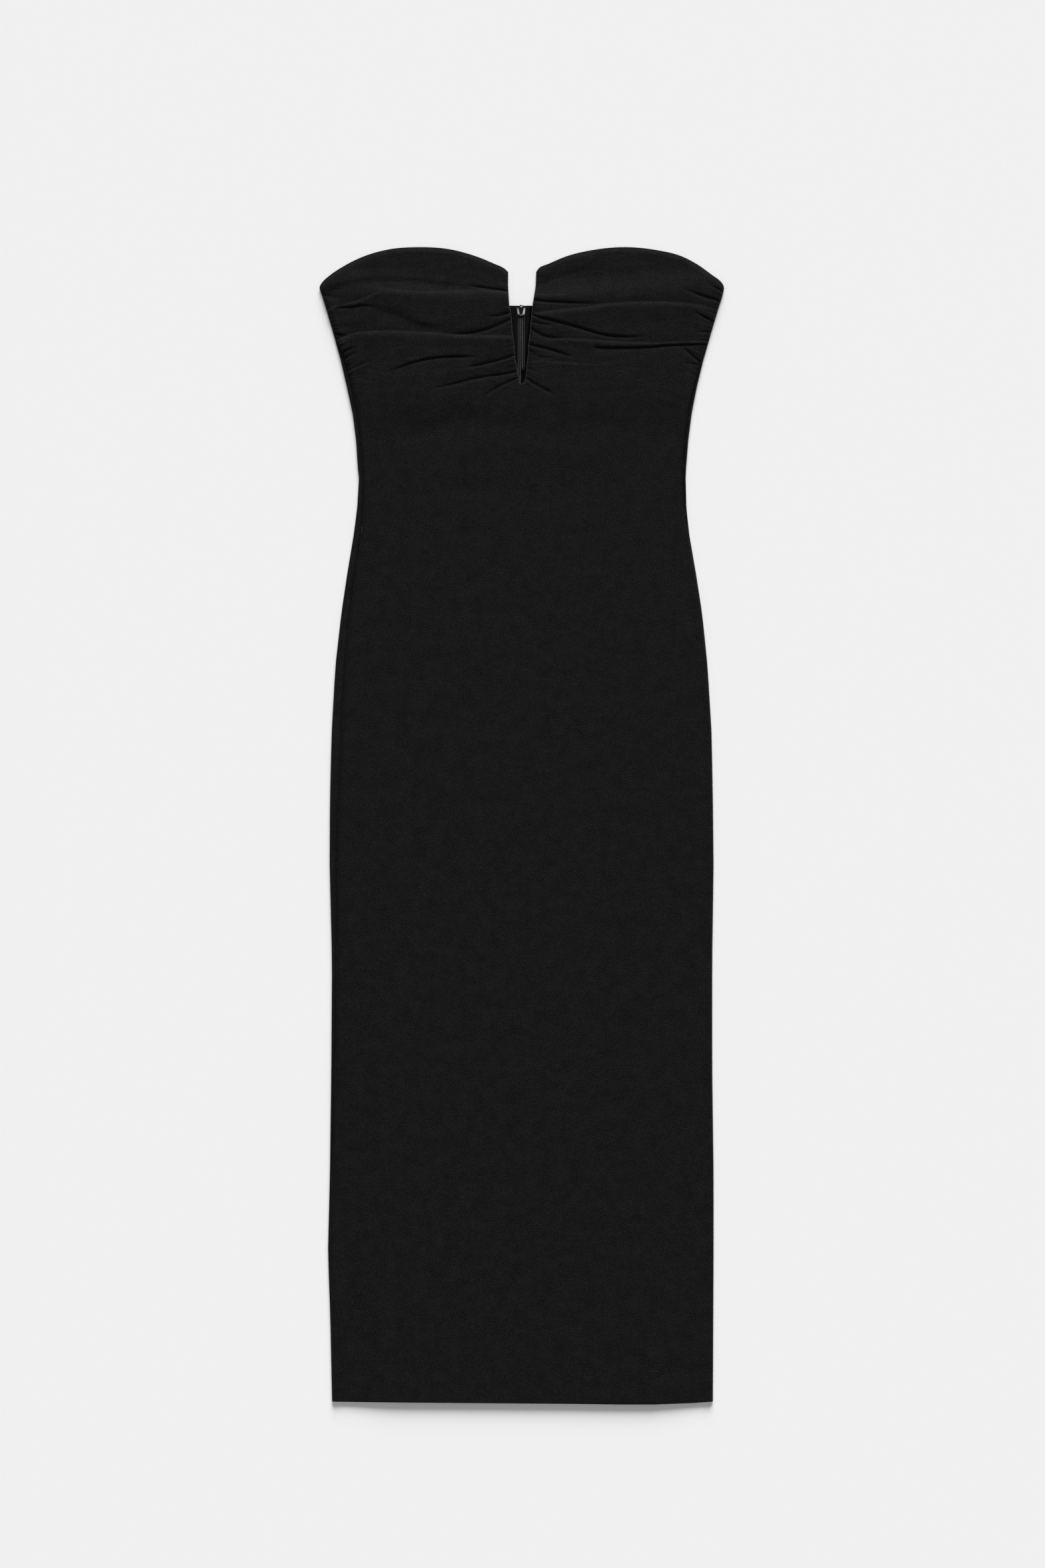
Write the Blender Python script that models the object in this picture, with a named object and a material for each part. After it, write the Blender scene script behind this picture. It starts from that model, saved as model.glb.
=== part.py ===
"""Strapless midi dress laid flat, face up: a gathered front, two backs and a centre-back zip.

The tables and sizes are in millimetres and the objects are made in metres. X runs across the
dress, Y up towards the bust, and Z up off the surface that it lies on. Height in a table means
distance above the lowest point of the hem, along the dress.
"""

import math

import bmesh
import bpy
import numpy as np

MM = 0.001
LENGTH = 1180.3
HALF_LENGTH = LENGTH / 2

# Cloth sizes
CLOTH = 1.2
FOLD_RADIUS = 1.8
SEAM_GAP = 0.3
CROWN = 2.2
CROWN_REACH = 70.0
RUCHED_CLOTH = 1.9
THINNEST = 1.05
THICKEST = 2.95

# The gathers thicken the front's wall from this height up, and from this far in from the side fold
RUCHING_FROM = 985.0
RUCHING_GROWS_OVER = 50.0
RUCHING_FROM_SEAM = 9.0
GATHER_FROM_SEAM = 3.0

# Beyond the backs' upper edge the cups come down to the surface
DROP_STARTS = 2.0
DROP_LENGTH = 26.0
FREE_EDGE_CLEARANCE = 0.6
FREE_EDGE_REACH = 14.0
LEAST_INSET = 0.2

# Outline of the tube: height, left edge, right edge, and how far in from each edge the side seam lies
OUTLINE = np.array([
    (0.0, -193.9, 194.6, 0.7, 0.0),
    (86.0, -195.6, 195.0, 1.1, 0.0),
    (154.0, -198.0, 195.3, 1.6, 0.0),
    (235.0, -196.0, 195.3, 2.0, 0.0),
    (344.0, -194.6, 193.9, 3.4, 0.0),
    (453.0, -193.9, 193.9, 4.7, 0.0),
    (548.0, -196.3, 195.3, 7.5, 0.0),
    (617.0, -196.0, 194.6, 9.3, 0.0),
    (685.0, -194.3, 193.3, 10.2, 0.0),
    (753.0, -190.5, 189.2, 10.2, 0.0),
    (807.0, -184.4, 183.7, 9.1, 0.0),
    (848.0, -178.3, 177.3, 8.2, 0.2),
    (889.0, -171.5, 170.1, 7.8, 1.0),
    (916.0, -168.1, 167.4, 6.1, 2.2),
    (945.0, -166.4, 166.7, 4.8, 3.0),
    (955.0, -167.5, 167.1, 4.8, 3.3),
    (984.0, -169.4, 169.4, 4.8, 3.7),
    (1011.0, -172.8, 172.8, 4.4, 4.1),
    (1038.0, -178.6, 178.0, 4.8, 3.1),
    (1066.0, -185.1, 184.8, 3.4, 1.5),
    (1093.0, -192.6, 192.6, 0.7, 0.4),
    (1120.0, -200.7, 200.7, 0.2, 0.2),
    (1130.0, -203.8, 204.0, 0.2, 0.2),
    (1139.3, -206.9, 206.9, 0.2, 0.2),
])

# Upper edge of each cup, from the side seam to the notch: across, height
CUP_LEFT = np.array([
    (-206.9, 1139.3), (-203.5, 1144.6), (-194.6, 1152.8), (-182.4, 1160.9), (-159.9, 1171.8),
    (-134.7, 1178.6), (-105.5, 1180.7), (-74.2, 1178.6), (-48.3, 1171.8), (-28.6, 1163.9),
    (-18.2, 1159.0), (-14.3, 1155.5),
])
CUP_RIGHT = np.array([
    (206.9, 1139.3), (203.5, 1144.6), (193.3, 1152.8), (180.3, 1162.3), (162.0, 1171.8),
    (138.1, 1177.6), (106.8, 1180.7), (71.5, 1177.6), (47.0, 1171.8), (27.9, 1163.9),
    (17.4, 1159.0), (15.0, 1155.5),
])

# Edges of the notch, from its foot to its top: across, height
NOTCH_LEFT = np.array([
    (0.3, 1041.2), (-3.4, 1052.1), (-5.4, 1062.3), (-6.8, 1072.5), (-8.2, 1086.1), (-8.8, 1096.3),
    (-10.2, 1111.3), (-12.9, 1120.1), (-13.6, 1128.3), (-14.3, 1140.5), (-14.3, 1155.5),
])
NOTCH_RIGHT = np.array([
    (0.3, 1041.2), (3.4, 1048.0), (4.8, 1058.9), (6.1, 1069.1), (7.1, 1082.7), (7.8, 1092.9),
    (9.2, 1106.5), (10.9, 1121.5), (12.9, 1131.0), (14.3, 1140.5), (15.0, 1155.5),
])
NOTCH_FOOT = 1041.2

# Hem line: across, height above its lowest point
HEM = np.array([
    (-193.9, 2.7), (-110.0, 2.0), (-30.0, 1.4), (52.0, 0.7), (100.0, 0.0), (135.0, 0.0),
    (155.0, 0.7), (175.0, 1.4), (194.6, 2.7),
])
HEM_REACH = 200.0

# Upper edge of the backs: distance from centre back, height
BACK_TOP = np.array([
    (0.0, 1120.6), (15.0, 1121.0), (60.0, 1123.5), (110.0, 1127.5), (160.0, 1133.0), (206.9, 1139.3),
])

# Folds of the bust: half width, depth (minus for a trough), fade-in share, fade-out share, then the line
FOLDS = [
    (5.0, -0.8, 0.0, 0.4, [(-14, 1138), (-42, 1138.5), (-72, 1138), (-104, 1142), (-131, 1147)]),
    (4.0, -0.7, 0.1, 0.5, [(-195, 1118), (-172, 1119), (-150, 1119), (-123, 1111), (-86, 1099)]),
    (4.5, -0.8, 0.0, 0.2, [(-9, 1109), (-25, 1100), (-57, 1093), (-87, 1094), (-130, 1096), (-187, 1087)]),
    (4.0, -0.7, 0.0, 0.6, [(-7, 1072), (-25, 1066), (-57, 1059)]),
    (4.0, -0.7, 0.3, 0.3, [(-52, 1070), (-73, 1070), (-102, 1066), (-144, 1051)]),
    (5.0, -0.6, 0.0, 0.6, [(-5, 1055), (-43, 1049), (-95, 1034)]),
    (4.0, -0.5, 0.0, 0.6, [(-2, 1048), (-18, 1042), (-42, 1030)]),
    (6.0, 0.9, 0.1, 0.1, [(-24, 1130), (-55, 1132), (-92, 1134), (-128, 1137), (-180, 1143)]),
    (6.0, 0.9, 0.1, 0.2, [(-11, 1104), (-60, 1104), (-102, 1108), (-140, 1107), (-185, 1098)]),
    (6.0, 0.7, 0.2, 0.4, [(-8, 1083), (-50, 1082), (-95, 1081), (-140, 1078)]),
    (4.0, -0.6, 0.0, 0.5, [(12, 1127), (40, 1125), (73, 1123)]),
    (6.0, 0.9, 0.1, 0.1, [(14, 1116), (46, 1118), (83, 1122), (120, 1125), (162, 1126), (192, 1122)]),
    (4.5, -0.8, 0.0, 0.3, [(9, 1112), (35, 1106), (65, 1098), (90, 1092), (122, 1090)]),
    (4.0, -0.6, 0.0, 0.4, [(8, 1100), (18, 1094), (30, 1088), (65, 1085), (103, 1085)]),
    (4.5, -0.8, 0.4, 0.1, [(75, 1079), (117, 1079), (155, 1080), (190, 1083)]),
    (4.0, -0.5, 0.0, 0.5, [(7, 1081), (35, 1075), (50, 1070)]),
    (5.0, -0.5, 0.0, 0.5, [(6, 1068), (35, 1066), (83, 1061)]),
    (5.0, -0.5, 0.0, 0.5, [(3, 1047), (18, 1038), (46, 1021)]),
    (6.0, 0.8, 0.3, 0.3, [(60, 1108), (110, 1104), (155, 1103), (190, 1102)]),
    (5.0, -0.5, 0.0, 0.5, [(14, 1134), (35, 1142), (61, 1153), (97, 1159)]),
    (4.0, -0.6, 0.0, 0.6, [(203, 1125), (188, 1130), (168, 1138)]),
    (4.0, -0.6, 0.0, 0.6, [(181, 1065), (166, 1078)]),
]

# Broad waves of the whole front: half width, height, fade-in share, fade-out share, then the line
WAVES = [
    (22.0, 0.35, 0.2, 0.3, [(168, 868), (165, 807), (148, 664), (120, 528), (107, 412)]),
    (30.0, 0.25, 0.3, 0.3, [(-9, 820), (-33, 582), (-16, 276), (12, 106)]),
    (12.0, 0.30, 0.2, 0.3, [(-162, 888), (-179, 753), (-184, 617), (-188, 412)]),
    (12.0, -0.35, 0.3, 0.3, [(-118, 942), (-57, 933), (12, 931), (66, 936), (120, 946)]),
    (16.0, -0.35, 0.3, 0.3, [(-125, 998), (-84, 1003), (-36, 1017)]),
]

# Gathers run in from the notch and from the side seams: height and reach of one gather, then how
# much each has of that height, going up
NOTCH_GATHER_RISE = 0.55
NOTCH_GATHER_REACH = 9.0
SEAM_GATHER_RISE = 0.5
SEAM_GATHER_REACH = 8.0
GATHER_SHARES = [
    0.6, 1.0, 0.7, 0.9, 0.5, 1.0, 0.8, 0.6, 1.0, 0.7, 0.9, 1.0,
    0.6, 0.8, 1.0, 0.5, 0.9, 0.7, 1.0, 0.8, 0.6, 0.4, 0.2,
]

# Columns of one half of the front, from its side seam to the middle, in millimetres on a half that is
# 195 wide. They are fine at both ends, and the even ones alone make the body.
COLUMNS = [
    0.0, 0.95, 1.9, 2.85, 5.0, 8.0, 12.0, 17.0, 24.0, 32.0, 41.0, 51.0, 62.0, 74.0,
    87.0, 100.0, 113.0, 126.0, 139.0, 151.0, 162.0, 172.0, 180.0, 185.0, 189.5, 192.5, 195.0,
]
COLUMN_SHARES = [distance / COLUMNS[-1] for distance in COLUMNS]

# Columns of one back's flat part, as distances from centre back on a back that is 190 wide. The first
# four are real distances, which the zip's strips share.
BACK_COLUMNS = [0.0, 3.4, 9.4, 15.4, 30.0, 60.0, 95.0, 130.0]
BACK_WIDTH = 190.0
ZIP_COLUMNS = 4
ARC_STEPS = 3

# Rows of the sheets, as heights, up to the foot of the notch
BODY_ROWS = [
    0.0, 30.0, 86.0, 154.0, 235.0, 300.0, 370.0, 453.0, 548.0, 617.0, 685.0, 753.0, 807.0,
    848.0, 889.0, 916.0, 945.0, 955.0, 984.0, 1004.0, 1023.0, NOTCH_FOOT,
]
CUP_ROWS = 2 * len(GATHER_SHARES)
BACK_CUP_ROWS = 12

# Zip sizes
ZIP_X = -0.7
HUMP_RISE = 2.8
HUMP_HALF_WIDTH = 4.4
HUMP_END = 20.0
HUMP_FULL_FROM = 1086.0
HUMP_FADES_BY = 1050.0
FRONT_OVER_HUMP = 0.5
SLIT_OPENS_OVER = 6.0
SLIT_AT_SLIDER = 1.1
SLIDER_FOOT = 1108.5
SLIDER_TOP = 1121.4
COIL_EDGE = 3.4
COIL_RISE = 1.6
TAPE_EDGE = 15.4
TAPE_AT_SLIDER = 5.0
TAPE_RISE = 1.0
TAPE_FOOT = 617.0
SLIDER_ROOM = 2.0
COIL_ENDS_BELOW = 0.4
TAPE_ENDS_BELOW = 0.8
PULL_AXIS_HEIGHT = 1113.0
PULL_AXIS_Z = 1.75


def material(name, colour, roughness, metallic=0.0):
    made = bpy.data.materials.new(name)
    made.use_nodes = True
    shader = made.node_tree.nodes["Principled BSDF"]
    shader.inputs["Base Color"].default_value = (*colour, 1.0)
    shader.inputs["Roughness"].default_value = roughness
    shader.inputs["Metallic"].default_value = metallic
    return made


def add_node(name, points, faces, stuff):
    """One closed solid from points in millimetres, with its faces turned outwards."""
    mesh = bpy.data.meshes.new(name)
    mesh.from_pydata([tuple(MM * value for value in point) for point in points], [], faces)
    shape = bmesh.new()
    shape.from_mesh(mesh)
    bmesh.ops.recalc_face_normals(shape, faces=shape.faces)
    if shape.calc_volume(signed=True) < 0:
        bmesh.ops.reverse_faces(shape, faces=shape.faces)
    shape.to_mesh(mesh)
    shape.free()
    mesh.materials.append(stuff)
    made = bpy.data.objects.new(name, mesh)
    bpy.context.scene.collection.objects.link(made)
    return made


def smooth(share):
    share = min(1.0, max(0.0, share))
    return share * share * (3.0 - 2.0 * share)


def outline(height, column):
    return float(np.interp(height, OUTLINE[:, 0], OUTLINE[:, column]))


def along(line, shares):
    """Points at the given shares of a line's length."""
    steps = np.hypot(np.diff(line[:, 0]), np.diff(line[:, 1]))
    reached = np.concatenate([[0.0], np.cumsum(steps)]) / steps.sum()
    across = np.interp(shares, reached, line[:, 0])
    upwards = np.interp(shares, reached, line[:, 1])
    return np.stack([across, upwards], axis=1)


def seam_reach(height, side):
    """How far round the side fold the seam lies, measured from the fold's outermost line."""
    inset = outline(height, 3 if side < 0 else 4)
    inset = max(inset, LEAST_INSET)
    if inset < FOLD_RADIUS:
        return FOLD_RADIUS * math.acos(1.0 - inset / FOLD_RADIUS)
    return FOLD_RADIUS * (math.pi / 2 - 1.0) + inset


def unrolled_edge(height, side):
    """Where the outermost line of the fold would lie if the upper side were flattened."""
    edge = outline(min(height, OUTLINE[-1, 0]), 1 if side < 0 else 2)
    return edge - side * FOLD_RADIUS * (1.0 - math.pi / 2)


def line_effect(x, height, table):
    """Sum of the folds of a table at one place: each is a smooth bump or trough along its line."""
    total = 0.0
    for half_width, rise, fade_in, fade_out, line in table:
        line = np.asarray(line, float)
        starts = line[:-1]
        steps = line[1:] - starts
        lengths = np.hypot(steps[:, 0], steps[:, 1])
        shares = ((x - starts[:, 0]) * steps[:, 0] + (height - starts[:, 1]) * steps[:, 1]) / lengths**2
        shares = np.clip(shares, 0.0, 1.0)
        closest = starts + shares[:, None] * steps
        gaps = np.hypot(closest[:, 0] - x, closest[:, 1] - height)
        nearest = int(np.argmin(gaps))
        if gaps[nearest] > 2.5 * half_width:
            continue
        reached = (lengths[:nearest].sum() + shares[nearest] * lengths[nearest]) / lengths.sum()
        strength = 1.0
        if fade_in:
            strength *= smooth(reached / fade_in)
        if fade_out:
            strength *= smooth((1.0 - reached) / fade_out)
        total += rise * strength * math.exp(-((gaps[nearest] / half_width) ** 2))
    return total


def hump(x, height):
    """The backs lift off the surface round the slider and its pull."""
    aside = smooth((HUMP_END - abs(x - ZIP_X)) / (HUMP_END - HUMP_HALF_WIDTH))
    down = smooth((height - HUMP_FADES_BY) / (HUMP_FULL_FROM - HUMP_FADES_BY))
    return HUMP_RISE * aside * down


def back_top(x):
    return float(np.interp(abs(x - ZIP_X), BACK_TOP[:, 0], BACK_TOP[:, 1]))


def front_rise(x, height, reach):
    """Height of the front's plain inside above the top of the side fold."""
    beyond = smooth((height - back_top(x) - DROP_STARTS) / DROP_LENGTH)
    rise = CROWN * smooth(reach / CROWN_REACH) + line_effect(x, height, WAVES)
    rise += FRONT_OVER_HUMP * hump(x, height)
    lowest = FREE_EDGE_CLEARANCE - (2 * FOLD_RADIUS - CLOTH)
    return rise * (1.0 - beyond) + lowest * beyond * smooth(reach / FREE_EDGE_REACH)


def ruche_share(height, reach):
    """Where the front's wall is thickened by its gathers: all of the bust, fading out below it."""
    return smooth((height - RUCHING_FROM) / RUCHING_GROWS_OVER) * smooth(reach / RUCHING_FROM_SEAM)


def front_points(flat_x, height, side, gather):
    """(outer point, inner point) of the front, from its place on the flattened sheet."""
    reach = side * (unrolled_edge(height, side) - flat_x)
    quarter = FOLD_RADIUS * math.pi / 2
    y = height - HALF_LENGTH
    if reach < quarter:
        edge = outline(min(height, OUTLINE[-1, 0]), 1 if side < 0 else 2)
        angle = reach / FOLD_RADIUS
        centre = edge - side * FOLD_RADIUS
        inner = FOLD_RADIUS - CLOTH
        return (
            (centre + side * FOLD_RADIUS * math.cos(angle), y, FOLD_RADIUS * (1.0 + math.sin(angle))),
            (centre + side * inner * math.cos(angle), y, FOLD_RADIUS + inner * math.sin(angle)),
        )
    reach -= quarter
    z = 2 * FOLD_RADIUS - CLOTH + front_rise(flat_x, height, reach)
    folds = RUCHED_CLOTH - CLOTH + line_effect(flat_x, height, FOLDS)
    wall = CLOTH + ruche_share(height, reach) * folds + gather * smooth(reach / GATHER_FROM_SEAM)
    wall = min(THICKEST, max(THINNEST, wall))
    return (flat_x, y, z + wall), (flat_x, y, z)




def cup_flat_points(side, cup, notch):
    """The cup's places on the flattened sheet: its seam, top, notch and foot lines, blended between."""
    shares = np.array(COLUMN_SHARES)
    rises = np.linspace(0.0, 1.0, CUP_ROWS + 1)
    top = along(cup, shares)
    inner = along(notch, rises)
    heights = NOTCH_FOOT + rises * (OUTLINE[-1, 0] - NOTCH_FOOT)
    seam = np.array([(seam_flat_x(height, side), height) for height in heights])
    top[:, 0] += (1.0 - shares) ** 6 * (seam[-1, 0] - top[0, 0])
    foot_x = seam[0, 0] + shares * (notch[0, 0] - seam[0, 0])
    foot = np.stack([foot_x, np.full(len(shares), NOTCH_FOOT)], axis=1)
    points = np.empty((len(rises), len(shares), 2))
    for row, rise in enumerate(rises):
        for column, share in enumerate(shares):
            ruled = (1 - rise) * foot[column] + rise * top[column]
            ruled = ruled + (1 - share) * seam[row] + share * inner[row]
            corners = (1 - rise) * ((1 - share) * foot[0] + share * foot[-1])
            corners = corners + rise * ((1 - share) * top[0] + share * top[-1])
            points[row, column] = ruled - corners
    return points


def seam_flat_x(height, side):
    return unrolled_edge(height, side) - side * (seam_reach(height, side) + SEAM_GAP / 2)


def gather_rise(row, share, width):
    """Every second row is raised beside the notch and beside the side seam."""
    if row <= 0 or row >= CUP_ROWS or row % 2 == 0:
        return 0.0
    part = GATHER_SHARES[row // 2]
    from_notch = (1.0 - share) * width
    from_seam = share * width
    rise = NOTCH_GATHER_RISE * math.exp(-((from_notch / NOTCH_GATHER_REACH) ** 2))
    rise += SEAM_GATHER_RISE * math.exp(-((from_seam / SEAM_GATHER_REACH) ** 2))
    return part * rise


# Clear the scene
for old in list(bpy.data.objects):
    bpy.data.objects.remove(old, do_unlink=True)

CREPE = material("black_crepe", (0.011, 0.011, 0.012), 0.85)
TAPE = material("black_tape", (0.008, 0.008, 0.009), 0.8)
COIL = material("black_coil", (0.02, 0.02, 0.022), 0.45)
METAL = material("dark_metal", (0.25, 0.25, 0.26), 0.35, 0.9)


# Front: one piece from the cups to the hem, open down the notch, so the middle column is doubled there
LAST = len(COLUMN_SHARES) - 1
FOOT_ROW = len(BODY_ROWS) - 1
cups = {-1: cup_flat_points(-1, CUP_LEFT, NOTCH_LEFT), 1: cup_flat_points(1, CUP_RIGHT, NOTCH_RIGHT)}
front_places = []
front_index = {}
front_faces = []


def front_vertex(layer, row, side, column):
    """Index of a point of the front. Row counts up from the hem, column in from that side's seam."""
    if column == LAST and row <= FOOT_ROW:
        key = (layer, row, 0, column)
    else:
        key = (layer, row, side, column)
    if key in front_index:
        return front_index[key]
    share = COLUMN_SHARES[column]
    if row <= FOOT_ROW:
        height = BODY_ROWS[row]
        middle = NOTCH_LEFT[0, 0]
        seam = seam_flat_x(height, side)
        flat_x = seam + share * (middle - seam)
        lift = float(np.interp(flat_x, HEM[:, 0], HEM[:, 1]))
        height += lift * (1.0 - min(1.0, height / HEM_REACH))
        outer, inner = front_points(flat_x, height, side, 0.0)
    else:
        flat_x, height = cups[side][row - FOOT_ROW, column]
        width = abs(cups[side][row - FOOT_ROW, 0, 0] - cups[side][row - FOOT_ROW, -1, 0])
        gather = gather_rise(row - FOOT_ROW, share, width)
        outer, inner = front_points(flat_x, height, side, gather)
    front_index[key] = len(front_places)
    front_places.append(outer if layer == "outer" else inner)
    return front_index[key]


def front_face(layer, *corners):
    front_faces.append(tuple(front_vertex(layer, *corner) for corner in corners))


for side in (-1, 1):
    for row in range(FOOT_ROW):
        for column in range(0, LAST, 2):
            for layer in ("outer", "inner"):
                low_start = (row, side, column)
                low_end = (row, side, column + 2)
                high_start = (row + 1, side, column)
                high_middle = (row + 1, side, column + 1)
                high_end = (row + 1, side, column + 2)
                if row == FOOT_ROW - 1 and layer == "outer":
                    front_face(layer, low_start, low_end, high_middle)
                    front_face(layer, low_start, high_middle, high_start)
                    front_face(layer, low_end, high_end, high_middle)
                else:
                    front_face(layer, low_start, low_end, high_end, high_start)
    for row in range(FOOT_ROW, FOOT_ROW + CUP_ROWS):
        for column in range(LAST):
            front_face(
                "outer",
                (row, side, column),
                (row, side, column + 1),
                (row + 1, side, column + 1),
                (row + 1, side, column),
            )
    for row in range(FOOT_ROW, FOOT_ROW + CUP_ROWS, 2):
        for column in range(0, LAST, 2):
            front_face(
                "inner",
                (row, side, column),
                (row, side, column + 2),
                (row + 2, side, column + 2),
                (row + 2, side, column),
            )


def front_edge(first, middle, last):
    """The wall's cut edge between two inner points, with one more point on the outer side."""
    a = front_vertex("outer", *first)
    b = front_vertex("outer", *middle)
    c = front_vertex("outer", *last)
    d = front_vertex("inner", *first)
    e = front_vertex("inner", *last)
    front_faces.append((a, b, d))
    front_faces.append((b, e, d))
    front_faces.append((b, c, e))


def plain_front_edge(first, last):
    front_faces.append((
        front_vertex("outer", *first),
        front_vertex("outer", *last),
        front_vertex("inner", *last),
        front_vertex("inner", *first),
    ))


TOP_ROW = FOOT_ROW + CUP_ROWS
for side in (-1, 1):
    for column in range(0, LAST, 2):
        plain_front_edge((0, side, column), (0, side, column + 2))
        front_edge((TOP_ROW, side, column), (TOP_ROW, side, column + 1), (TOP_ROW, side, column + 2))
    for row in range(FOOT_ROW):
        plain_front_edge((row, side, 0), (row + 1, side, 0))
    for row in range(FOOT_ROW, TOP_ROW, 2):
        front_edge((row, side, 0), (row + 1, side, 0), (row + 2, side, 0))
        front_edge((row, side, LAST), (row + 1, side, LAST), (row + 2, side, LAST))
add_node("front", front_places, front_faces, CREPE)


# Backs: each lies on the surface from centre back to the side fold, and turns over it to the side seam
def back_heights(side):
    """Row heights at the side seam, and at the centre, from the hem up."""
    rises = np.linspace(0.0, 1.0, BACK_CUP_ROWS + 1)[1:]
    at_seam = BODY_ROWS + [NOTCH_FOOT + rise * (OUTLINE[-1, 0] - NOTCH_FOOT) for rise in rises]
    at_centre = BODY_ROWS + [NOTCH_FOOT + rise * (BACK_TOP[0, 1] - NOTCH_FOOT) for rise in rises]
    return at_seam, at_centre


def slit(height):
    """Half width of the centre-back gap, wider where the slider passes through it."""
    share = smooth((height - (SLIDER_FOOT - SLIDER_ROOM - SLIT_OPENS_OVER)) / SLIT_OPENS_OVER)
    return SEAM_GAP / 2 + share * (SLIT_AT_SLIDER - SEAM_GAP / 2)


def back_row(side, seam_height, centre_height):
    """(outer points, inner points) across one back, from the centre to the side seam."""
    outer = []
    inner = []
    edge = outline(seam_height, 1 if side < 0 else 2)
    centre = edge - side * FOLD_RADIUS
    spread = abs(centre - ZIP_X)
    for column, distance in enumerate(BACK_COLUMNS):
        away = max(distance, slit(centre_height))
        if column >= ZIP_COLUMNS:
            away = distance * spread / BACK_WIDTH
        x = ZIP_X + side * away
        share = away / spread
        height = centre_height + (seam_height - centre_height) * share
        if seam_height > NOTCH_FOOT:
            over = (seam_height - NOTCH_FOOT) / (OUTLINE[-1, 0] - NOTCH_FOOT)
            height = NOTCH_FOOT + over * (back_top(x) - NOTCH_FOOT)
        lift = float(np.interp(x, HEM[:, 0], HEM[:, 1]))
        height += lift * (1.0 - min(1.0, height / HEM_REACH))
        rise = hump(x, height)
        outer.append((x, height - HALF_LENGTH, rise))
        inner.append((x, height - HALF_LENGTH, rise + CLOTH))
    lift = float(np.interp(edge, HEM[:, 0], HEM[:, 1]))
    y = seam_height + lift * (1.0 - min(1.0, seam_height / HEM_REACH)) - HALF_LENGTH
    last = seam_reach(seam_height, side) - SEAM_GAP / 2
    quarter = FOLD_RADIUS * math.pi / 2
    reaches = [quarter * (step / ARC_STEPS - 1.0) for step in range(ARC_STEPS + 1)]
    reaches += [min(quarter * step / ARC_STEPS, last * step / (ARC_STEPS + 1)) for step in (1, 2, 3)]
    reaches.append(last)
    for reach in reaches:
        for radius, points in ((FOLD_RADIUS, outer), (FOLD_RADIUS - CLOTH, inner)):
            if reach <= quarter:
                angle = reach / FOLD_RADIUS
                points.append((
                    centre + side * radius * math.cos(angle), y, FOLD_RADIUS + radius * math.sin(angle)
                ))
            else:
                flat_x = centre - side * (reach - quarter)
                rise = front_rise(flat_x, seam_height, reach - quarter)
                points.append((flat_x, y, FOLD_RADIUS + radius + rise))
    return outer, inner


def wall_grid(outer, inner):
    """Points and faces of a closed wall between two grids of the same size."""
    rows = len(outer)
    columns = len(outer[0])
    points = [point for row in outer for point in row] + [point for row in inner for point in row]
    under = rows * columns
    faces = []
    for row in range(rows - 1):
        for column in range(columns - 1):
            a = row * columns + column
            faces.append((a, a + 1, a + 1 + columns, a + columns))
            faces.append((under + a + columns, under + a + 1 + columns, under + a + 1, under + a))
    ring = [column for column in range(columns)]
    ring += [row * columns + columns - 1 for row in range(1, rows)]
    ring += [(rows - 1) * columns + column for column in range(columns - 2, -1, -1)]
    ring += [row * columns for row in range(rows - 2, 0, -1)]
    for here, after in zip(ring, ring[1:] + ring[:1]):
        faces.append((here, under + here, under + after, after))
    return points, faces


back_grids = {}
for name, side in (("back_right", -1), ("back_left", 1)):
    seam_heights, centre_heights = back_heights(side)
    rows = [back_row(side, at_seam, at_centre) for at_seam, at_centre in zip(seam_heights, centre_heights)]
    back_grids[side] = [row[1] for row in rows]
    points, faces = wall_grid([row[0] for row in rows], [row[1] for row in rows])
    add_node(name, points, faces, CREPE)


# Zip tapes and coils lie on the inside of the backs, so both are made from its points moved up
def strip(side, first_edge, last_edge, rise, foot, top, columns):
    """A strip on the inside of one back between two distances from centre back."""
    lower = []
    for row in back_grids[side]:
        height = row[0][1] + HALF_LENGTH
        if height < foot - 1.0:
            continue
        cut = min(height, top)
        inset = first_edge(cut)
        places = []
        for step in range(columns + 1):
            away = inset + (last_edge - inset) * step / columns
            near = row[: ZIP_COLUMNS + 2]
            distances = [abs(point[0] - ZIP_X) for point in near]
            z = float(np.interp(away, distances, [point[2] for point in near]))
            places.append((ZIP_X + side * away, cut - HALF_LENGTH, z + SEAM_GAP))
        lower.append(places)
        if height >= top:
            break
    upper = [[(x, y, z + rise) for x, y, z in row] for row in lower]
    return wall_grid(upper, lower)


def tape_inset(height):
    if height > SLIDER_FOOT - 3 * SLIDER_ROOM:
        return TAPE_AT_SLIDER
    return COIL_EDGE + SEAM_GAP / 2


COIL_TOP = SLIDER_FOOT - COIL_ENDS_BELOW
TAPE_TOP = BACK_TOP[0, 1] - TAPE_ENDS_BELOW
for name, side in (("right", -1), ("left", 1)):
    points, faces = strip(side, slit, COIL_EDGE - SEAM_GAP / 2, COIL_RISE, TAPE_FOOT, COIL_TOP, 1)
    add_node("zip_coil_" + name, points, faces, COIL)
    points, faces = strip(side, tape_inset, TAPE_EDGE - SEAM_GAP / 2, TAPE_RISE, TAPE_FOOT, TAPE_TOP, 2)
    add_node("zip_tape_" + name, points, faces, TAPE)


# Slider: a body inside the dress, a neck through the centre-back gap, and an eye outside for the pull
def prism(outline_points, low, high, axis):
    """Points and faces of a straight prism: its outline, drawn in the other two axes, from low to high."""
    count = len(outline_points)
    points = []
    for level in (low, high):
        for first, second in outline_points:
            if axis == "z":
                points.append((first, second, level))
            else:
                points.append((level, first, second))
    faces = [tuple(range(count)), tuple(range(2 * count - 1, count - 1, -1))]
    for here in range(count):
        after = (here + 1) % count
        faces.append((here, here + count, after + count, after))
    return points, faces


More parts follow.
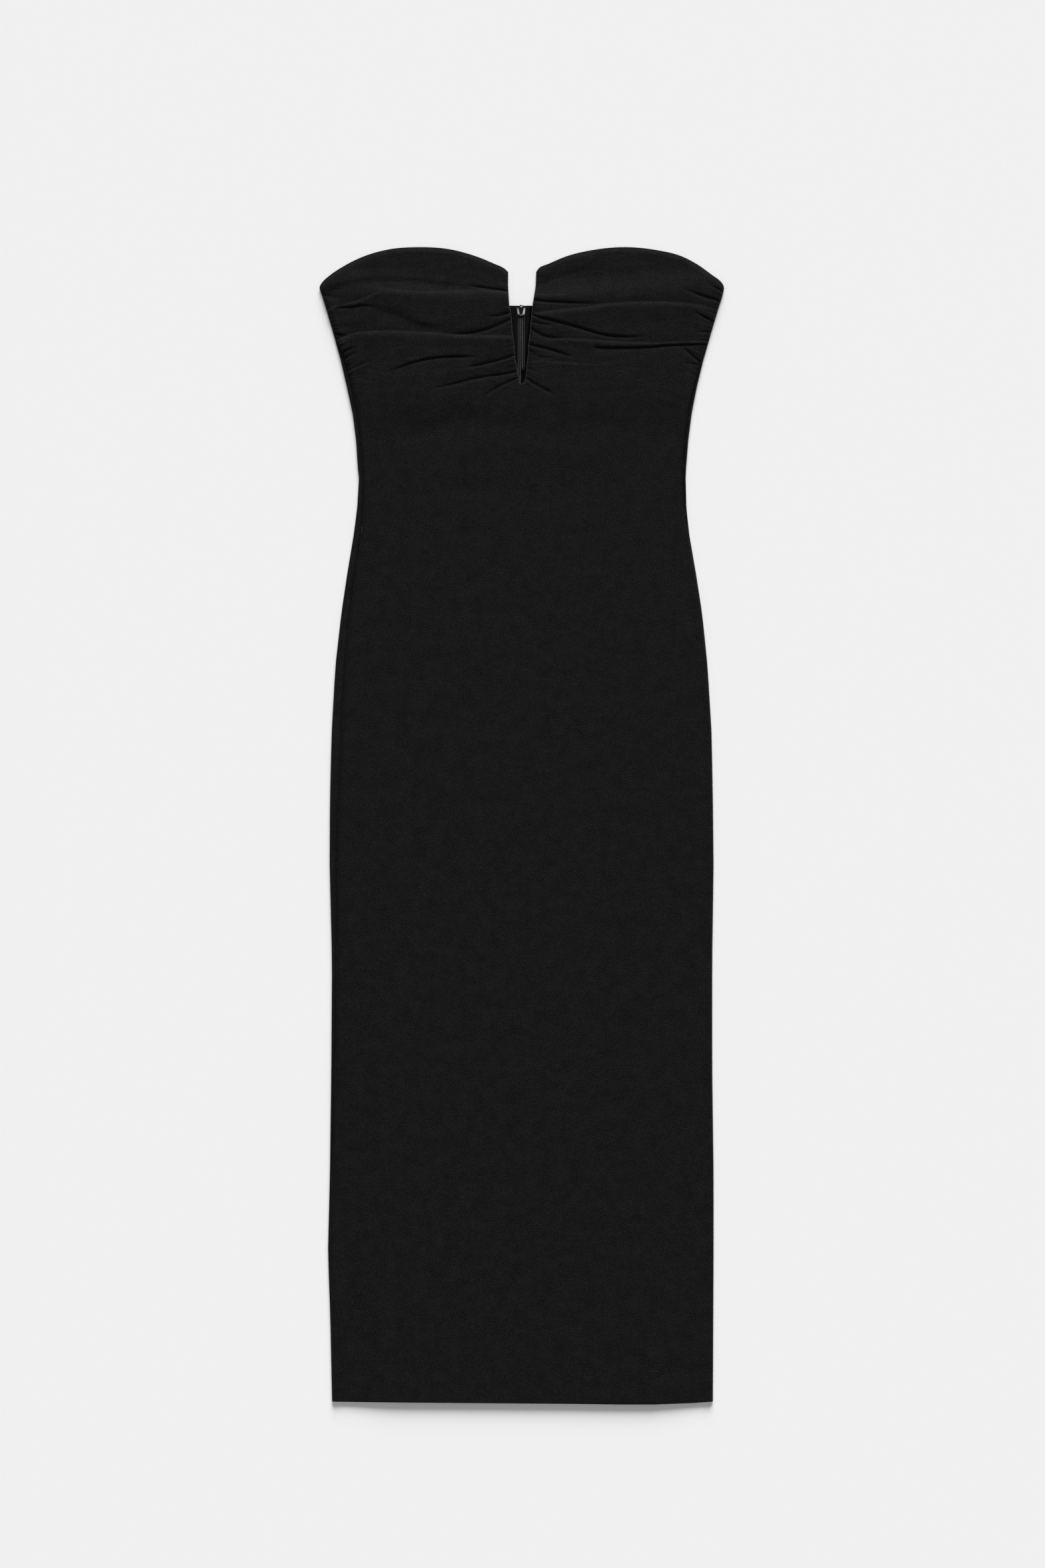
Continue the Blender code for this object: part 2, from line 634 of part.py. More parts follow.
def combine(target, tool, operation):
    """Join or cut two solids, then drop the tool."""
    change = target.modifiers.new("combine", "BOOLEAN")
    change.operation = operation
    change.solver = "EXACT"
    change.object = tool
    graph = bpy.context.evaluated_depsgraph_get()
    shaped = bpy.data.meshes.new_from_object(target.evaluated_get(graph))
    target.modifiers.clear()
    target.data = shaped
    bpy.data.objects.remove(tool, do_unlink=True)


def rounded(corners, radius, steps):
    """An outline with its corners rounded."""
    made = []
    count = len(corners)
    for here in range(count):
        corner = np.array(corners[here], float)
        before = np.array(corners[here - 1], float) - corner
        after = np.array(corners[(here + 1) % count], float) - corner
        before = before / np.linalg.norm(before) * radius
        after = after / np.linalg.norm(after) * radius
        for step in range(steps + 1):
            t = step / steps
            place = corner + (1 - t) ** 2 * before + t**2 * after
            made.append((float(place[0]), float(place[1])))
    return made


AXIS_Y = PULL_AXIS_HEIGHT - HALF_LENGTH
BODY_LOW = HUMP_RISE + CLOTH + SEAM_GAP
BODY_HIGH = BODY_LOW + 2.0
NECK_HALF_WIDTH = 0.8
EYE_RADIUS = 1.3
HOLE_RADIUS = 0.68
BAR_RADIUS = 0.45

body_corners = [
    (ZIP_X - 3.4, SLIDER_FOOT - HALF_LENGTH),
    (ZIP_X + 3.4, SLIDER_FOOT - HALF_LENGTH),
    (ZIP_X + 4.6, SLIDER_TOP - 5.0 - HALF_LENGTH),
    (ZIP_X + 4.2, SLIDER_TOP - HALF_LENGTH),
    (ZIP_X - 4.2, SLIDER_TOP - HALF_LENGTH),
    (ZIP_X - 4.6, SLIDER_TOP - 5.0 - HALF_LENGTH),
]
points, faces = prism(rounded(body_corners, 1.8, 4), BODY_LOW, BODY_HIGH, "z")
slider = add_node("zip_slider", points, faces, METAL)
neck_side = [
    (AXIS_Y - 3.0, BODY_LOW + 0.5),
    (AXIS_Y - 3.0, HUMP_RISE - 0.3),
    (AXIS_Y - EYE_RADIUS, HUMP_RISE - 0.45),
    (AXIS_Y - EYE_RADIUS, PULL_AXIS_Z),
]
neck_side += [
    (
        AXIS_Y - EYE_RADIUS * math.cos(math.pi * step / 8),
        PULL_AXIS_Z - EYE_RADIUS * math.sin(math.pi * step / 8),
    )
    for step in range(1, 8)
]
neck_side += [
    (AXIS_Y + EYE_RADIUS, PULL_AXIS_Z),
    (AXIS_Y + EYE_RADIUS, HUMP_RISE - 0.45),
    (AXIS_Y + 3.0, HUMP_RISE - 0.3),
    (AXIS_Y + 3.0, BODY_LOW + 0.5),
]
points, faces = prism(neck_side, ZIP_X - NECK_HALF_WIDTH, ZIP_X + NECK_HALF_WIDTH, "x")
neck = add_node("neck", points, faces, METAL)
hole_side = [
    (
        AXIS_Y + HOLE_RADIUS * math.cos(math.pi * step / 6),
        PULL_AXIS_Z + HOLE_RADIUS * math.sin(math.pi * step / 6),
    )
    for step in range(12)
]
points, faces = prism(hole_side, ZIP_X - 2.0, ZIP_X + 2.0, "x")
hole = add_node("hole", points, faces, METAL)
combine(neck, hole, "DIFFERENCE")
combine(slider, neck, "UNION")


# Pull: a flat drop with a window, hung on the slider's eye by a round bar
PULL_THICKNESS = 1.0
PULL_LENGTH = 22.0
low = PULL_AXIS_Z - PULL_THICKNESS / 2
high = PULL_AXIS_Z + PULL_THICKNESS / 2
drop = rounded(
    [
        (ZIP_X - 2.2, AXIS_Y + 0.6),
        (ZIP_X - 2.2, AXIS_Y - 6.0),
        (ZIP_X - 3.1, AXIS_Y - PULL_LENGTH + 3.0),
        (ZIP_X - 2.0, AXIS_Y - PULL_LENGTH),
        (ZIP_X + 2.0, AXIS_Y - PULL_LENGTH),
        (ZIP_X + 3.1, AXIS_Y - PULL_LENGTH + 3.0),
        (ZIP_X + 2.2, AXIS_Y - 6.0),
        (ZIP_X + 2.2, AXIS_Y + 0.6),
    ],
    0.5,
    3,
)
points, faces = prism(drop, low, high, "z")
pull = add_node("zip_pull", points, faces, METAL)
window = [
    (ZIP_X - 1.1, AXIS_Y + 3.0),
    (ZIP_X - 1.1, AXIS_Y - 2.4),
    (ZIP_X + 1.1, AXIS_Y - 2.4),
    (ZIP_X + 1.1, AXIS_Y + 3.0),
]
points, faces = prism(window, low - 1.0, high + 1.0, "z")
cutter = add_node("window", points, faces, METAL)
combine(pull, cutter, "DIFFERENCE")
bar_side = [
    (
        AXIS_Y + BAR_RADIUS * math.cos(math.pi * (step + 0.5) / 6),
        PULL_AXIS_Z + BAR_RADIUS * math.sin(math.pi * (step + 0.5) / 6),
    )
    for step in range(12)
]
points, faces = prism(bar_side, ZIP_X - 1.7, ZIP_X + 1.7, "x")
bar = add_node("bar", points, faces, METAL)
combine(pull, bar, "UNION")

# The pull turns about the bar, so its origin goes there
offset = (ZIP_X * MM, AXIS_Y * MM, PULL_AXIS_Z * MM)
for vertex in pull.data.vertices:
    vertex.co = [value - shift for value, shift in zip(vertex.co, offset)]
pull.location = offset
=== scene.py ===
import math

import bmesh
import bpy
import numpy as np
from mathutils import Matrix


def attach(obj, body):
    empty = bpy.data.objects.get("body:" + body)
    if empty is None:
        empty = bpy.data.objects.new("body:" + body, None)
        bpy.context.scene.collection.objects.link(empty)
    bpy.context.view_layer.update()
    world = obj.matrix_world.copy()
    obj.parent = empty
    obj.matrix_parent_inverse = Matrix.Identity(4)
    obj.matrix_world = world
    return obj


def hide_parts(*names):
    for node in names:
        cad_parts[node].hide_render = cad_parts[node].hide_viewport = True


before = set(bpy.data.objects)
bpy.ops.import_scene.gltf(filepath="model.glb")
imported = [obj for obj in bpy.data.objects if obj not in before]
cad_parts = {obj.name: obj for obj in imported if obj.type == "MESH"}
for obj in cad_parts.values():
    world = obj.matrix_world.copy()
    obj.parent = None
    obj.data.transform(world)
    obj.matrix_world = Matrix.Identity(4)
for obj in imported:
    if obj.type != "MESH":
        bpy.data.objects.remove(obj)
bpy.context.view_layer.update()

# Front.
# One piece of matte black crepe, cut in one from the cups to the hem. It is gathered along both edges
# of the notch and along both side seams of the bust, and its upper edge is turned in.
MM = 0.001
HALF_LENGTH = 590.15
FOLD_RADIUS = 1.8
SOLID_WALL = 1.2
SHELL = 0.8
SEAM_GAP = 0.3

# Outline: height above the hem, left edge, right edge, inset of the left and the right side seam
OUTLINE = np.array([
    (0.0, -193.9, 195.3, 0.7, 0.0),
    (86.0, -195.6, 195.7, 1.1, 0.0),
    (154.0, -198.0, 196.0, 1.6, 0.0),
    (235.0, -196.0, 196.0, 2.0, 0.0),
    (344.0, -194.6, 194.6, 3.4, 0.0),
    (453.0, -193.9, 194.6, 4.7, 0.0),
    (548.0, -196.3, 196.0, 7.5, 0.0),
    (617.0, -196.0, 195.3, 9.3, 0.0),
    (685.0, -194.3, 194.0, 10.2, 0.0),
    (753.0, -190.5, 189.9, 10.2, 0.0),
    (807.0, -184.4, 184.4, 9.1, 0.0),
    (848.0, -178.3, 178.0, 8.2, 0.2),
    (889.0, -171.5, 170.8, 7.8, 1.0),
    (916.0, -168.1, 168.1, 6.1, 2.2),
    (945.0, -166.4, 167.4, 4.8, 3.0),
    (955.0, -167.5, 167.8, 4.8, 3.3),
    (984.0, -169.4, 170.1, 4.8, 3.7),
    (1011.0, -172.8, 173.5, 4.4, 4.1),
    (1038.0, -178.6, 178.7, 4.8, 3.1),
    (1066.0, -185.1, 185.5, 3.4, 1.5),
    (1093.0, -192.6, 193.3, 0.7, 0.4),
    (1120.0, -200.7, 201.4, 0.2, 0.2),
    (1130.0, -203.8, 204.7, 0.2, 0.2),
    (1139.3, -206.9, 206.9, 0.2, 0.2),
])
CORNER = OUTLINE[-1, 0]
LEAST_INSET = 0.2

# Cup and notch edges: across, height above the hem
CUP_EDGE = {
    -1: np.array([
        (-206.9, 1139.3), (-203.5, 1144.6), (-194.6, 1152.8), (-182.4, 1160.9), (-159.9, 1171.8),
        (-134.7, 1178.6), (-105.5, 1180.7), (-74.2, 1178.6), (-48.3, 1171.8), (-28.6, 1163.9),
        (-18.2, 1159.0), (-14.3, 1155.5),
    ]),
    1: np.array([
        (206.9, 1139.3), (203.5, 1144.6), (193.3, 1152.8), (180.3, 1162.3), (162.0, 1171.8),
        (138.1, 1177.6), (106.8, 1180.7), (71.5, 1177.6), (47.0, 1171.8), (27.9, 1163.9),
        (17.4, 1159.0), (15.0, 1155.5),
    ]),
}
NOTCH_EDGE = {
    -1: np.array([
        (-0.4, 1041.2), (-2.4, 1042.0), (-3.2, 1045.2), (-4.1, 1052.1), (-5.9, 1060.5), (-7.2, 1067.0),
        (-7.7, 1075.0), (-8.3, 1083.0), (-9.5, 1090.5), (-10.2, 1097.0), (-11.3, 1111.3), (-12.9, 1120.1),
        (-13.6, 1128.3), (-14.3, 1140.5), (-14.3, 1155.5),
    ]),
    1: np.array([
        (-0.4, 1041.2), (2.2, 1041.9), (3.7, 1045.2), (4.5, 1049.5), (5.4, 1058.9), (6.6, 1069.1),
        (7.4, 1082.7), (8.6, 1092.9), (10.0, 1106.5), (11.3, 1121.5), (12.9, 1131.0), (14.3, 1140.5),
        (15.0, 1155.5),
    ]),
}
NOTCH_FOOT = 1041.2
HEM_LINE = np.array([
    (-193.9, 2.7), (-110.0, 2.0), (-30.0, 1.4), (52.0, 0.7), (100.0, 0.0), (135.0, 0.0),
    (155.0, 0.7), (175.0, 1.4), (194.6, 2.7),
])
HEM_REACH = 200.0
BACK_TOP = np.array([
    (0.0, 1120.6), (15.0, 1121.0), (60.0, 1123.5), (110.0, 1127.5), (160.0, 1133.0), (206.9, 1139.3),
])

# Folds of the bust, each along a line of (across, height) points that starts at its strong end.
# Columns: depth of the sharp cut on the line, lift and reach of the cloth above the line, lift and reach
# below it, share of the line over which it fades in, the same for fading out, the line.
BUST_FOLDS = [
    # Wearer's right cup, from its upper edge down
    (0.0, 0.3, 8.0, -1.5, 9.0, 0.05, 0.3, [
        (-203, 1134), (-190, 1140.5), (-177, 1144.5), (-154, 1147.4), (-128, 1147.6), (-97, 1146),
        (-60, 1141.6), (-30, 1138.6),
    ]),
    (1.71, -0.51, 5.0, -0.34, 3.0, 0.0, 0.45, [(-12, 1135.6), (-28, 1137.6), (-44, 1139.9), (-60, 1142.5)]),
    (0.0, -0.7, 6.0, 1.1, 14.0, 0.0, 0.25, [
        (-12, 1135), (-37, 1136), (-60, 1136), (-97, 1134.9), (-128, 1136.7), (-146, 1139.4), (-170, 1142),
    ]),
    (1.24, -0.34, 4.0, -0.34, 3.0, 0.0, 0.7, [(-205, 1133), (-199, 1131), (-191, 1129.4), (-180, 1128.4)]),
    (0.0, -0.6, 4.0, 1.0, 5.0, 0.05, 0.3, [
        (-202, 1113), (-193, 1119.2), (-184, 1120.8), (-175, 1123.3), (-165, 1126.3), (-153, 1131.8),
        (-138, 1137),
    ]),
    (1.71, 0.18, 4.0, -0.51, 5.0, 0.1, 0.5, [
        (-192, 1117.6), (-184, 1118.8), (-173, 1119.1), (-165, 1120.8), (-152, 1119.6), (-142, 1116),
    ]),
    (0.0, -1.5, 4.5, -1.5, 15.0, 0.25, 0.3, [
        (-156, 1119), (-143, 1115), (-128, 1109.9), (-112, 1102.5), (-94, 1097), (-74, 1094),
    ]),
    (1.4, -0.34, 3.0, -0.25, 3.0, 0.0, 0.55, [
        (-8, 1116), (-12, 1114.3), (-23, 1110.6), (-34, 1109.9), (-42, 1110.4),
    ]),
    (2.02, -0.51, 4.5, -0.25, 3.0, 0.0, 0.4, [
        (-6, 1109.4), (-9.8, 1107.9), (-20, 1102.7), (-28, 1099.2), (-39, 1095.5), (-50, 1093.1),
        (-62, 1091.8), (-80, 1092),
    ]),
    (0.0, -0.8, 6.0, 1.3, 15.0, 0.0, 0.0, [
        (-5, 1089.2), (-30, 1089.6), (-50, 1090), (-76, 1091.4), (-102, 1093.2), (-128, 1094.2),
        (-154, 1094), (-172, 1091.9), (-184, 1087.4), (-195, 1082),
    ]),
    (1.24, -0.18, 3.0, -0.43, 3.0, 0.0, 0.6, [(-191, 1092.6), (-184, 1090.3), (-178, 1088.6)]),
    (1.08, 0.51, 3.0, -0.34, 3.0, 0.0, 0.6, [
        (-186, 1071.8), (-182, 1073.6), (-176, 1076.8), (-168, 1080.2),
    ]),
    (0.78, -0.34, 3.0, 0.68, 3.5, 0.0, 0.6, [(-184, 1064), (-180, 1066.5), (-174, 1069.9), (-165, 1073)]),
    (0.78, -0.34, 3.0, 0.76, 4.0, 0.0, 0.5, [
        (-180, 1052), (-176, 1054.5), (-168, 1058.2), (-160, 1061.8), (-150, 1064),
    ]),
    (1.94, -0.51, 4.0, 0.51, 5.0, 0.0, 0.35, [
        (-3, 1071.4), (-7, 1070.6), (-12, 1068.3), (-22, 1065), (-33, 1062.2), (-47, 1059), (-62, 1056.6),
    ]),
    (1.55, 0.51, 5.0, -0.51, 5.0, 0.25, 0.35, [
        (-42, 1068.4), (-54, 1068.8), (-66, 1068.7), (-81, 1068.1), (-97, 1066), (-110, 1062.9),
        (-123, 1058.4), (-133, 1054.5), (-142, 1050),
    ]),
    (1.4, -0.51, 4.5, -0.34, 4.0, 0.05, 0.5, [
        (-3, 1053.8), (-16, 1051), (-34, 1048.7), (-50, 1045.9), (-65, 1042), (-81, 1038.1), (-97, 1034.2),
        (-106, 1031),
    ]),
    (1.71, -0.18, 3.0, 0.51, 4.0, 0.0, 0.4, [
        (-1.5, 1048.2), (-5, 1046.5), (-16, 1041.6), (-28, 1035.2), (-36, 1030), (-43, 1025),
    ]),
    # Wearer's left cup, from its upper edge down
    (0.0, -1.1, 5.5, -1.1, 14.0, 0.1, 0.4, [(12, 1138), (24, 1143), (42, 1150), (64, 1156), (100, 1161)]),
    (0.0, -0.36, 3.5, 0.73, 4.0, 0.0, 0.5, [(12, 1132.9), (28, 1132.4), (40, 1132), (54, 1132.6)]),
    (1.71, -0.43, 3.0, -0.18, 3.0, 0.0, 0.5, [
        (11, 1126.6), (14, 1126), (28, 1124.6), (44, 1123.9), (62, 1123.2), (84, 1122.6),
    ]),
    (0.0, -0.8, 6.0, 1.15, 14.0, 0.0, 0.1, [
        (8, 1111.6), (16, 1112.8), (44, 1116.5), (65, 1118.7), (81, 1121), (120, 1124), (159, 1123.1),
        (180, 1121), (200, 1117),
    ]),
    (2.09, 0.25, 5.0, -0.51, 5.0, 0.0, 0.25, [
        (6, 1114), (9, 1112.6), (17, 1109), (28, 1106.3), (42, 1102.6), (56, 1098.9), (69, 1095),
        (81, 1091.6), (94, 1089.6), (117, 1089), (130, 1089.2),
    ]),
    (1.24, -0.18, 3.0, -0.18, 3.0, 0.0, 0.6, [
        (6, 1105.2), (9, 1104.8), (15, 1103.1), (28, 1101), (38, 1100),
    ]),
    (1.78, -0.34, 3.0, -0.18, 3.0, 0.0, 0.5, [
        (5, 1099.2), (8, 1097.9), (15, 1093.4), (21, 1090.2), (30, 1088.2), (46, 1087.5),
    ]),
    (0.0, -0.6, 4.0, 1.0, 4.5, 0.2, 0.0, [
        (16, 1085.4), (42, 1086.6), (70, 1085.3), (107, 1082.9), (133, 1082.3), (160, 1083.4),
        (192, 1084.2),
    ]),
    (2.17, 0.51, 3.2, -0.76, 4.5, 0.06, 0.0, [
        (72, 1078.6), (80, 1077.9), (94, 1077.5), (112, 1077.7), (133, 1078.6), (148, 1080), (171, 1081),
        (184, 1081.5), (195, 1081.8),
    ]),
    (1.78, -0.18, 3.0, -0.51, 4.0, 0.0, 0.45, [
        (4, 1082.6), (7, 1081.6), (18, 1078.6), (28, 1076.2), (38, 1073), (48, 1069.6), (58, 1066),
    ]),
    (0.78, -0.34, 3.0, 0.34, 3.0, 0.0, 0.5, [
        (5, 1074.4), (9, 1072.8), (18, 1067.9), (26, 1067.2), (38, 1066.4),
    ]),
    (0.0, -0.46, 3.5, 0.55, 4.0, 0.1, 0.4, [
        (6, 1064.8), (29, 1063.4), (45, 1062.4), (68, 1061.3), (84, 1061),
    ]),
    (1.71, -0.18, 3.0, 0.51, 4.0, 0.0, 0.35, [
        (1.5, 1048.4), (4, 1046.9), (12, 1041.3), (21, 1036.2), (28, 1032.6), (36, 1027),
    ]),
    (1.24, -0.18, 3.0, 0.18, 3.0, 0.0, 0.5, [(208, 1132.5), (205, 1135.1), (198, 1138.6), (190, 1143)]),
    (1.71, -0.34, 4.0, -0.34, 3.0, 0.0, 0.6, [
        (206, 1123.4), (201, 1125.6), (193, 1128.1), (183, 1131.2), (174, 1134.6), (160, 1139),
    ]),
    (1.55, -0.18, 3.0, -0.34, 4.0, 0.0, 0.55, [(199, 1103), (190, 1107.2), (180, 1112.5), (172, 1115.6)]),
    (1.08, 0.0, 3.0, 0.0, 3.0, 0.0, 0.6, [(196, 1094.2), (186, 1093.9), (176, 1093.9)]),
    (1.71, -0.18, 3.0, -0.18, 3.0, 0.0, 0.4, [(186, 1060), (181, 1064.2), (168, 1075.4), (162, 1081)]),
    (0.93, 0.0, 3.0, 0.0, 3.0, 0.0, 0.6, [(184, 1059.8), (172, 1061.6), (162, 1063.6)]),
]

# Short gathers at the stitched edges: height at the edge, length, depth, climb away from the edge
NOTCH_TICKS = {
    -1: [
        (1150.0, 7, 0.15, 0.1), (1143.5, 9, 0.22, 0.1), (1126.5, 8, 0.25, -0.1), (1122.0, 9, 0.31, -0.3),
        (1113.2, 8, 0.5, -0.35), (1104.8, 8, 0.37, -0.4), (1101.0, 9, 0.43, -0.4), (1096.6, 12, 0.5, -0.6),
        (1091.4, 9, 0.37, -0.5), (1085.4, 12, 0.5, -0.4), (1080.0, 13, 0.5, -0.3), (1075.6, 8, 0.37, -0.4),
        (1065.8, 10, 0.5, -0.4), (1059.5, 11, 0.43, -0.3), (1051.0, 9, 0.37, -0.5),
    ],
    1: [
        (1149.0, 7, 0.15, 0.1), (1142.0, 9, 0.25, 0.2), (1121.5, 9, 0.31, -0.1), (1116.5, 8, 0.31, -0.2),
        (1107.5, 9, 0.37, -0.3), (1093.0, 9, 0.43, -0.5), (1088.1, 11, 0.5, -0.4), (1084.4, 8, 0.31, -0.3),
        (1075.2, 10, 0.5, -0.3), (1071.0, 8, 0.37, -0.3), (1064.6, 9, 0.37, -0.2), (1056.8, 10, 0.43, -0.3),
        (1051.2, 9, 0.37, -0.5),
    ],
}
SEAM_TICKS = {
    -1: [
        (1134.0, 9, 0.38, 0.3), (1113.0, 10, 0.46, -0.1), (1108.0, 8, 0.55, 0.0), (1104.4, 10, 0.55, 0.0),
        (1100.4, 12, 0.75, -0.1), (1096.3, 11, 0.75, 0.1), (1092.2, 14, 0.75, -0.2), (1087.6, 8, 0.55, 0.1),
        (1083.0, 9, 0.46, 0.3), (1078.6, 10, 0.55, 0.4), (1066.0, 11, 0.55, 0.5), (1058.0, 12, 0.46, 0.5),
        (1049.0, 11, 0.38, 0.5), (1043.0, 9, 0.29, 0.4),
    ],
    1: [
        (1130.3, 9, 0.38, 0.2), (1121.0, 8, 0.46, 0.1), (1117.6, 9, 0.55, 0.1), (1112.0, 9, 0.46, 0.3),
        (1101.6, 10, 0.55, 0.2), (1097.6, 8, 0.46, 0.1), (1089.4, 10, 0.55, 0.0), (1085.8, 8, 0.55, -0.1),
        (1077.4, 9, 0.46, 0.1), (1072.4, 10, 0.55, 0.4), (1067.6, 11, 0.46, 0.5), (1055.0, 9, 0.46, 0.4),
        (1049.0, 9, 0.38, 0.4),
    ],
}
TICK_HALF_WIDTH = 1.1
FULL_TICK = 0.6
TICK_SHADE_WIDTH = 0.75
PUCKER_DEPTH = 0.3
PUCKER_LENGTH = 4.5
FOLD_EDGE = 0.95
SOFT_EDGE = 3.0
VALLEY_EDGE = 5.0
CUT_REACH = 1.1
FULL_CUT = 1.5
CUT_SHADE_REACH = 1.05
NOTCH_PULL = 0.4
FOLDS_FROM = 1005.0
FOLDS_OVER = 14.0
RUCHED_FROM = 985.0
RUCHED_FULL = 1035.0
RUCHED_RISE = 2.1
CROWN_RISE = 2.2
CROWN_REACH = 70.0
FALL_REACH = 26.0
LOWEST_INSIDE = 0.6
ROLL_RISE = 0.75
ROLL_REACH = 6.0
SEAM_CREST = {-1: 1.6, 1: 3.4}
GROOVE_DEPTH = 1.15
GROOVE_SHADE_REACH = 1.8
HEM_PRESS = 0.25
HEM_PRESS_REACH = 1.2
TURNED_PRESS = 0.2
LEAST_WALL = 0.85
WALL_BLEND = 0.25

# Broad waves of the skirt and waist: rise, reach, shares of the line for fading in and out, the line
BODY_WAVES = [
    (0.55, 20.0, 0.2, 0.3, [
        (168, 868), (162, 780), (160, 739), (143, 650), (124, 575), (113, 500), (106, 412),
    ]),
    (0.25, 30.0, 0.3, 0.3, [(-9, 820), (-33, 582), (-16, 276), (12, 106)]),
    (0.5, 9.0, 0.15, 0.3, [(-164, 888), (-170, 840), (-176, 753), (-180, 617), (-184, 412)]),
    (-0.6, 10.0, 0.3, 0.3, [(-118, 942), (-57, 933), (12, 931), (66, 936), (120, 946)]),
    (-1.3, 13.0, 0.2, 0.3, [(-132, 985), (-106, 991), (-70, 1001), (-29, 1014.6)]),
    (0.5, 12.0, 0.3, 0.3, [(-90, 968), (-20, 978), (60, 972), (120, 966)]),
    (-0.4, 14.0, 0.3, 0.3, [(64, 860), (66, 700), (66, 560), (60, 420)]),
    (-0.4, 22.0, 0.3, 0.3, [(-76, 600), (-77, 480), (-74, 360)]),
    (0.3, 18.0, 0.3, 0.3, [(-144, 250), (-144, 120), (-140, 60)]),
]

ZIP_X = -0.7
HUMP_RISE = 2.8
HUMP_HALF_WIDTH = 4.4
HUMP_END = 20.0
HUMP_FULL_FROM = 1086.0
HUMP_FADES_BY = 1050.0


def ease(share):
    share = np.clip(share, 0.0, 1.0)
    return share * share * (3.0 - 2.0 * share)


def edge_at(height, side):
    return np.interp(height, OUTLINE[:, 0], OUTLINE[:, 1 if side < 0 else 2])


def inset_at(height, side):
    return np.maximum(np.interp(height, OUTLINE[:, 0], OUTLINE[:, 3 if side < 0 else 4]), LEAST_INSET)


def back_top(x):
    return np.interp(np.abs(x - ZIP_X), BACK_TOP[:, 0], BACK_TOP[:, 1])


def hem_lift(x, height):
    """How much the uneven hem raises a row of the cloth."""
    return np.interp(x, HEM_LINE[:, 0], HEM_LINE[:, 1]) * (1.0 - np.minimum(1.0, height / HEM_REACH))


def seam_reach(height, side):
    """How far round the side fold the seam lies, from the fold's outermost line."""
    inset = inset_at(height, side)
    round_part = FOLD_RADIUS * np.arccos(np.clip(1.0 - inset / FOLD_RADIUS, -1.0, 1.0))
    return np.where(inset < FOLD_RADIUS, round_part, FOLD_RADIUS * (math.pi / 2 - 1.0) + inset)


def seam_depth(height, side):
    """How deep the seam is sunk, from 0 to 1: hardly where it lies on the fold's outermost line."""
    return 0.12 + 0.88 * ease(inset_at(height, side) / 2.6)


def unrolled_edge(height, side):
    """Where the fold's outermost line would lie if the upper side were flattened."""
    return edge_at(height, side) - side * FOLD_RADIUS * (1.0 - math.pi / 2)


def hump(x, height):
    """The backs lift off the surface round the slider and its pull."""
    aside = ease((HUMP_END - np.abs(x - ZIP_X)) / (HUMP_END - HUMP_HALF_WIDTH))
    return HUMP_RISE * aside * ease((height - HUMP_FADES_BY) / (HUMP_FULL_FROM - HUMP_FADES_BY))


def line_lift(x, height, table):
    """Sum of the folds of a table: sharp cuts on their lines, and soft rises or troughs on either side. Also
    gives how much shade is painted into the cuts."""
    total, crease = np.zeros_like(x), np.zeros_like(x)
    for cut, above, above_reach, below, below_reach, fade_in, fade_out, line in table:
        line = smoothed(np.asarray(line, float), 4 * len(line))
        margin = 2.2 * max(above_reach, below_reach) + 2.0
        beside = (x > line[:, 0].min() - margin) & (x < line[:, 0].max() + margin)
        beside &= (height > line[:, 1].min() - margin) & (height < line[:, 1].max() + margin)
        if not beside.any():
            continue
        lengths = np.hypot(*(line[1:] - line[:-1]).T)
        whole = lengths.sum()
        near_x, near_height = x[beside], height[beside]
        nearest = np.full(near_x.shape, 1e9)
        reached = np.zeros_like(near_x)
        signed = np.zeros_like(near_x)
        before = 0.0
        for start, end, length in zip(line[:-1], line[1:], lengths):
            step = end - start
            away_x, away_y = near_x - start[0], near_height - start[1]
            share = np.clip((away_x * step[0] + away_y * step[1]) / length**2, 0.0, 1.0)
            gap = np.hypot(away_x - share * step[0], away_y - share * step[1])
            closer = gap < nearest
            side = np.sign(step[0]) if step[0] else 1.0
            across = side * (away_y * step[0] - away_x * step[1]) / length
            reached = np.where(closer, (before + share * length) / whole, reached)
            signed = np.where(closer, across, signed)
            nearest = np.where(closer, gap, nearest)
            before += length
        strength = np.ones_like(near_x)
        if fade_in:
            strength *= ease(reached / fade_in)
        if fade_out:
            strength *= ease((1.0 - reached) / fade_out)
        upper = ease(0.5 + signed / (2 * FOLD_EDGE))
        if not cut and below > 0:
            upper = 0.45 * upper + 0.55 * ease(0.5 + (signed + 1.5) / (2 * SOFT_EDGE))
        elif not cut:
            upper = ease(0.5 + signed / (2 * VALLEY_EDGE))
        lift = upper * above * np.exp(-((nearest / above_reach) ** 1.6))
        lift += (1.0 - upper) * below * np.exp(-((nearest / below_reach) ** 1.6))
        total[beside] += strength * (lift - cut * np.exp(-((nearest / CUT_REACH) ** 1.4)))
        painted_shade = strength * min(1.0, cut / FULL_CUT) * np.exp(-((nearest / CUT_SHADE_REACH) ** 2))
        crease[beside] = np.maximum(crease[beside], painted_shade)
    return total, crease


def soft_waves(x, height, waves):
    """Sum of broad soft waves, each alike on both sides of its line."""
    table = [(0.0, rise, reach, rise, reach, *fades, line) for rise, reach, *fades, line in waves]
    return line_lift(x, height, table)[0]


def tick_lift(height, from_edge, ticks):
    """Short gathers at a stitched edge, each a narrow trough that fades inwards. Also gives how much shade is
    painted into them."""
    total, crease = np.zeros_like(height), np.zeros_like(height)
    for edge_height, length, depth, climb in ticks:
        gap = height - edge_height - climb * from_edge
        total -= depth * np.exp(-((gap / TICK_HALF_WIDTH) ** 2)) * np.exp(-((from_edge / length) ** 2))
        painted_shade = min(1.0, depth / FULL_TICK) * np.exp(-((gap / TICK_SHADE_WIDTH) ** 2))
        crease = np.maximum(crease, painted_shade * np.exp(-((from_edge / (0.5 * length)) ** 2)))
    return total, crease


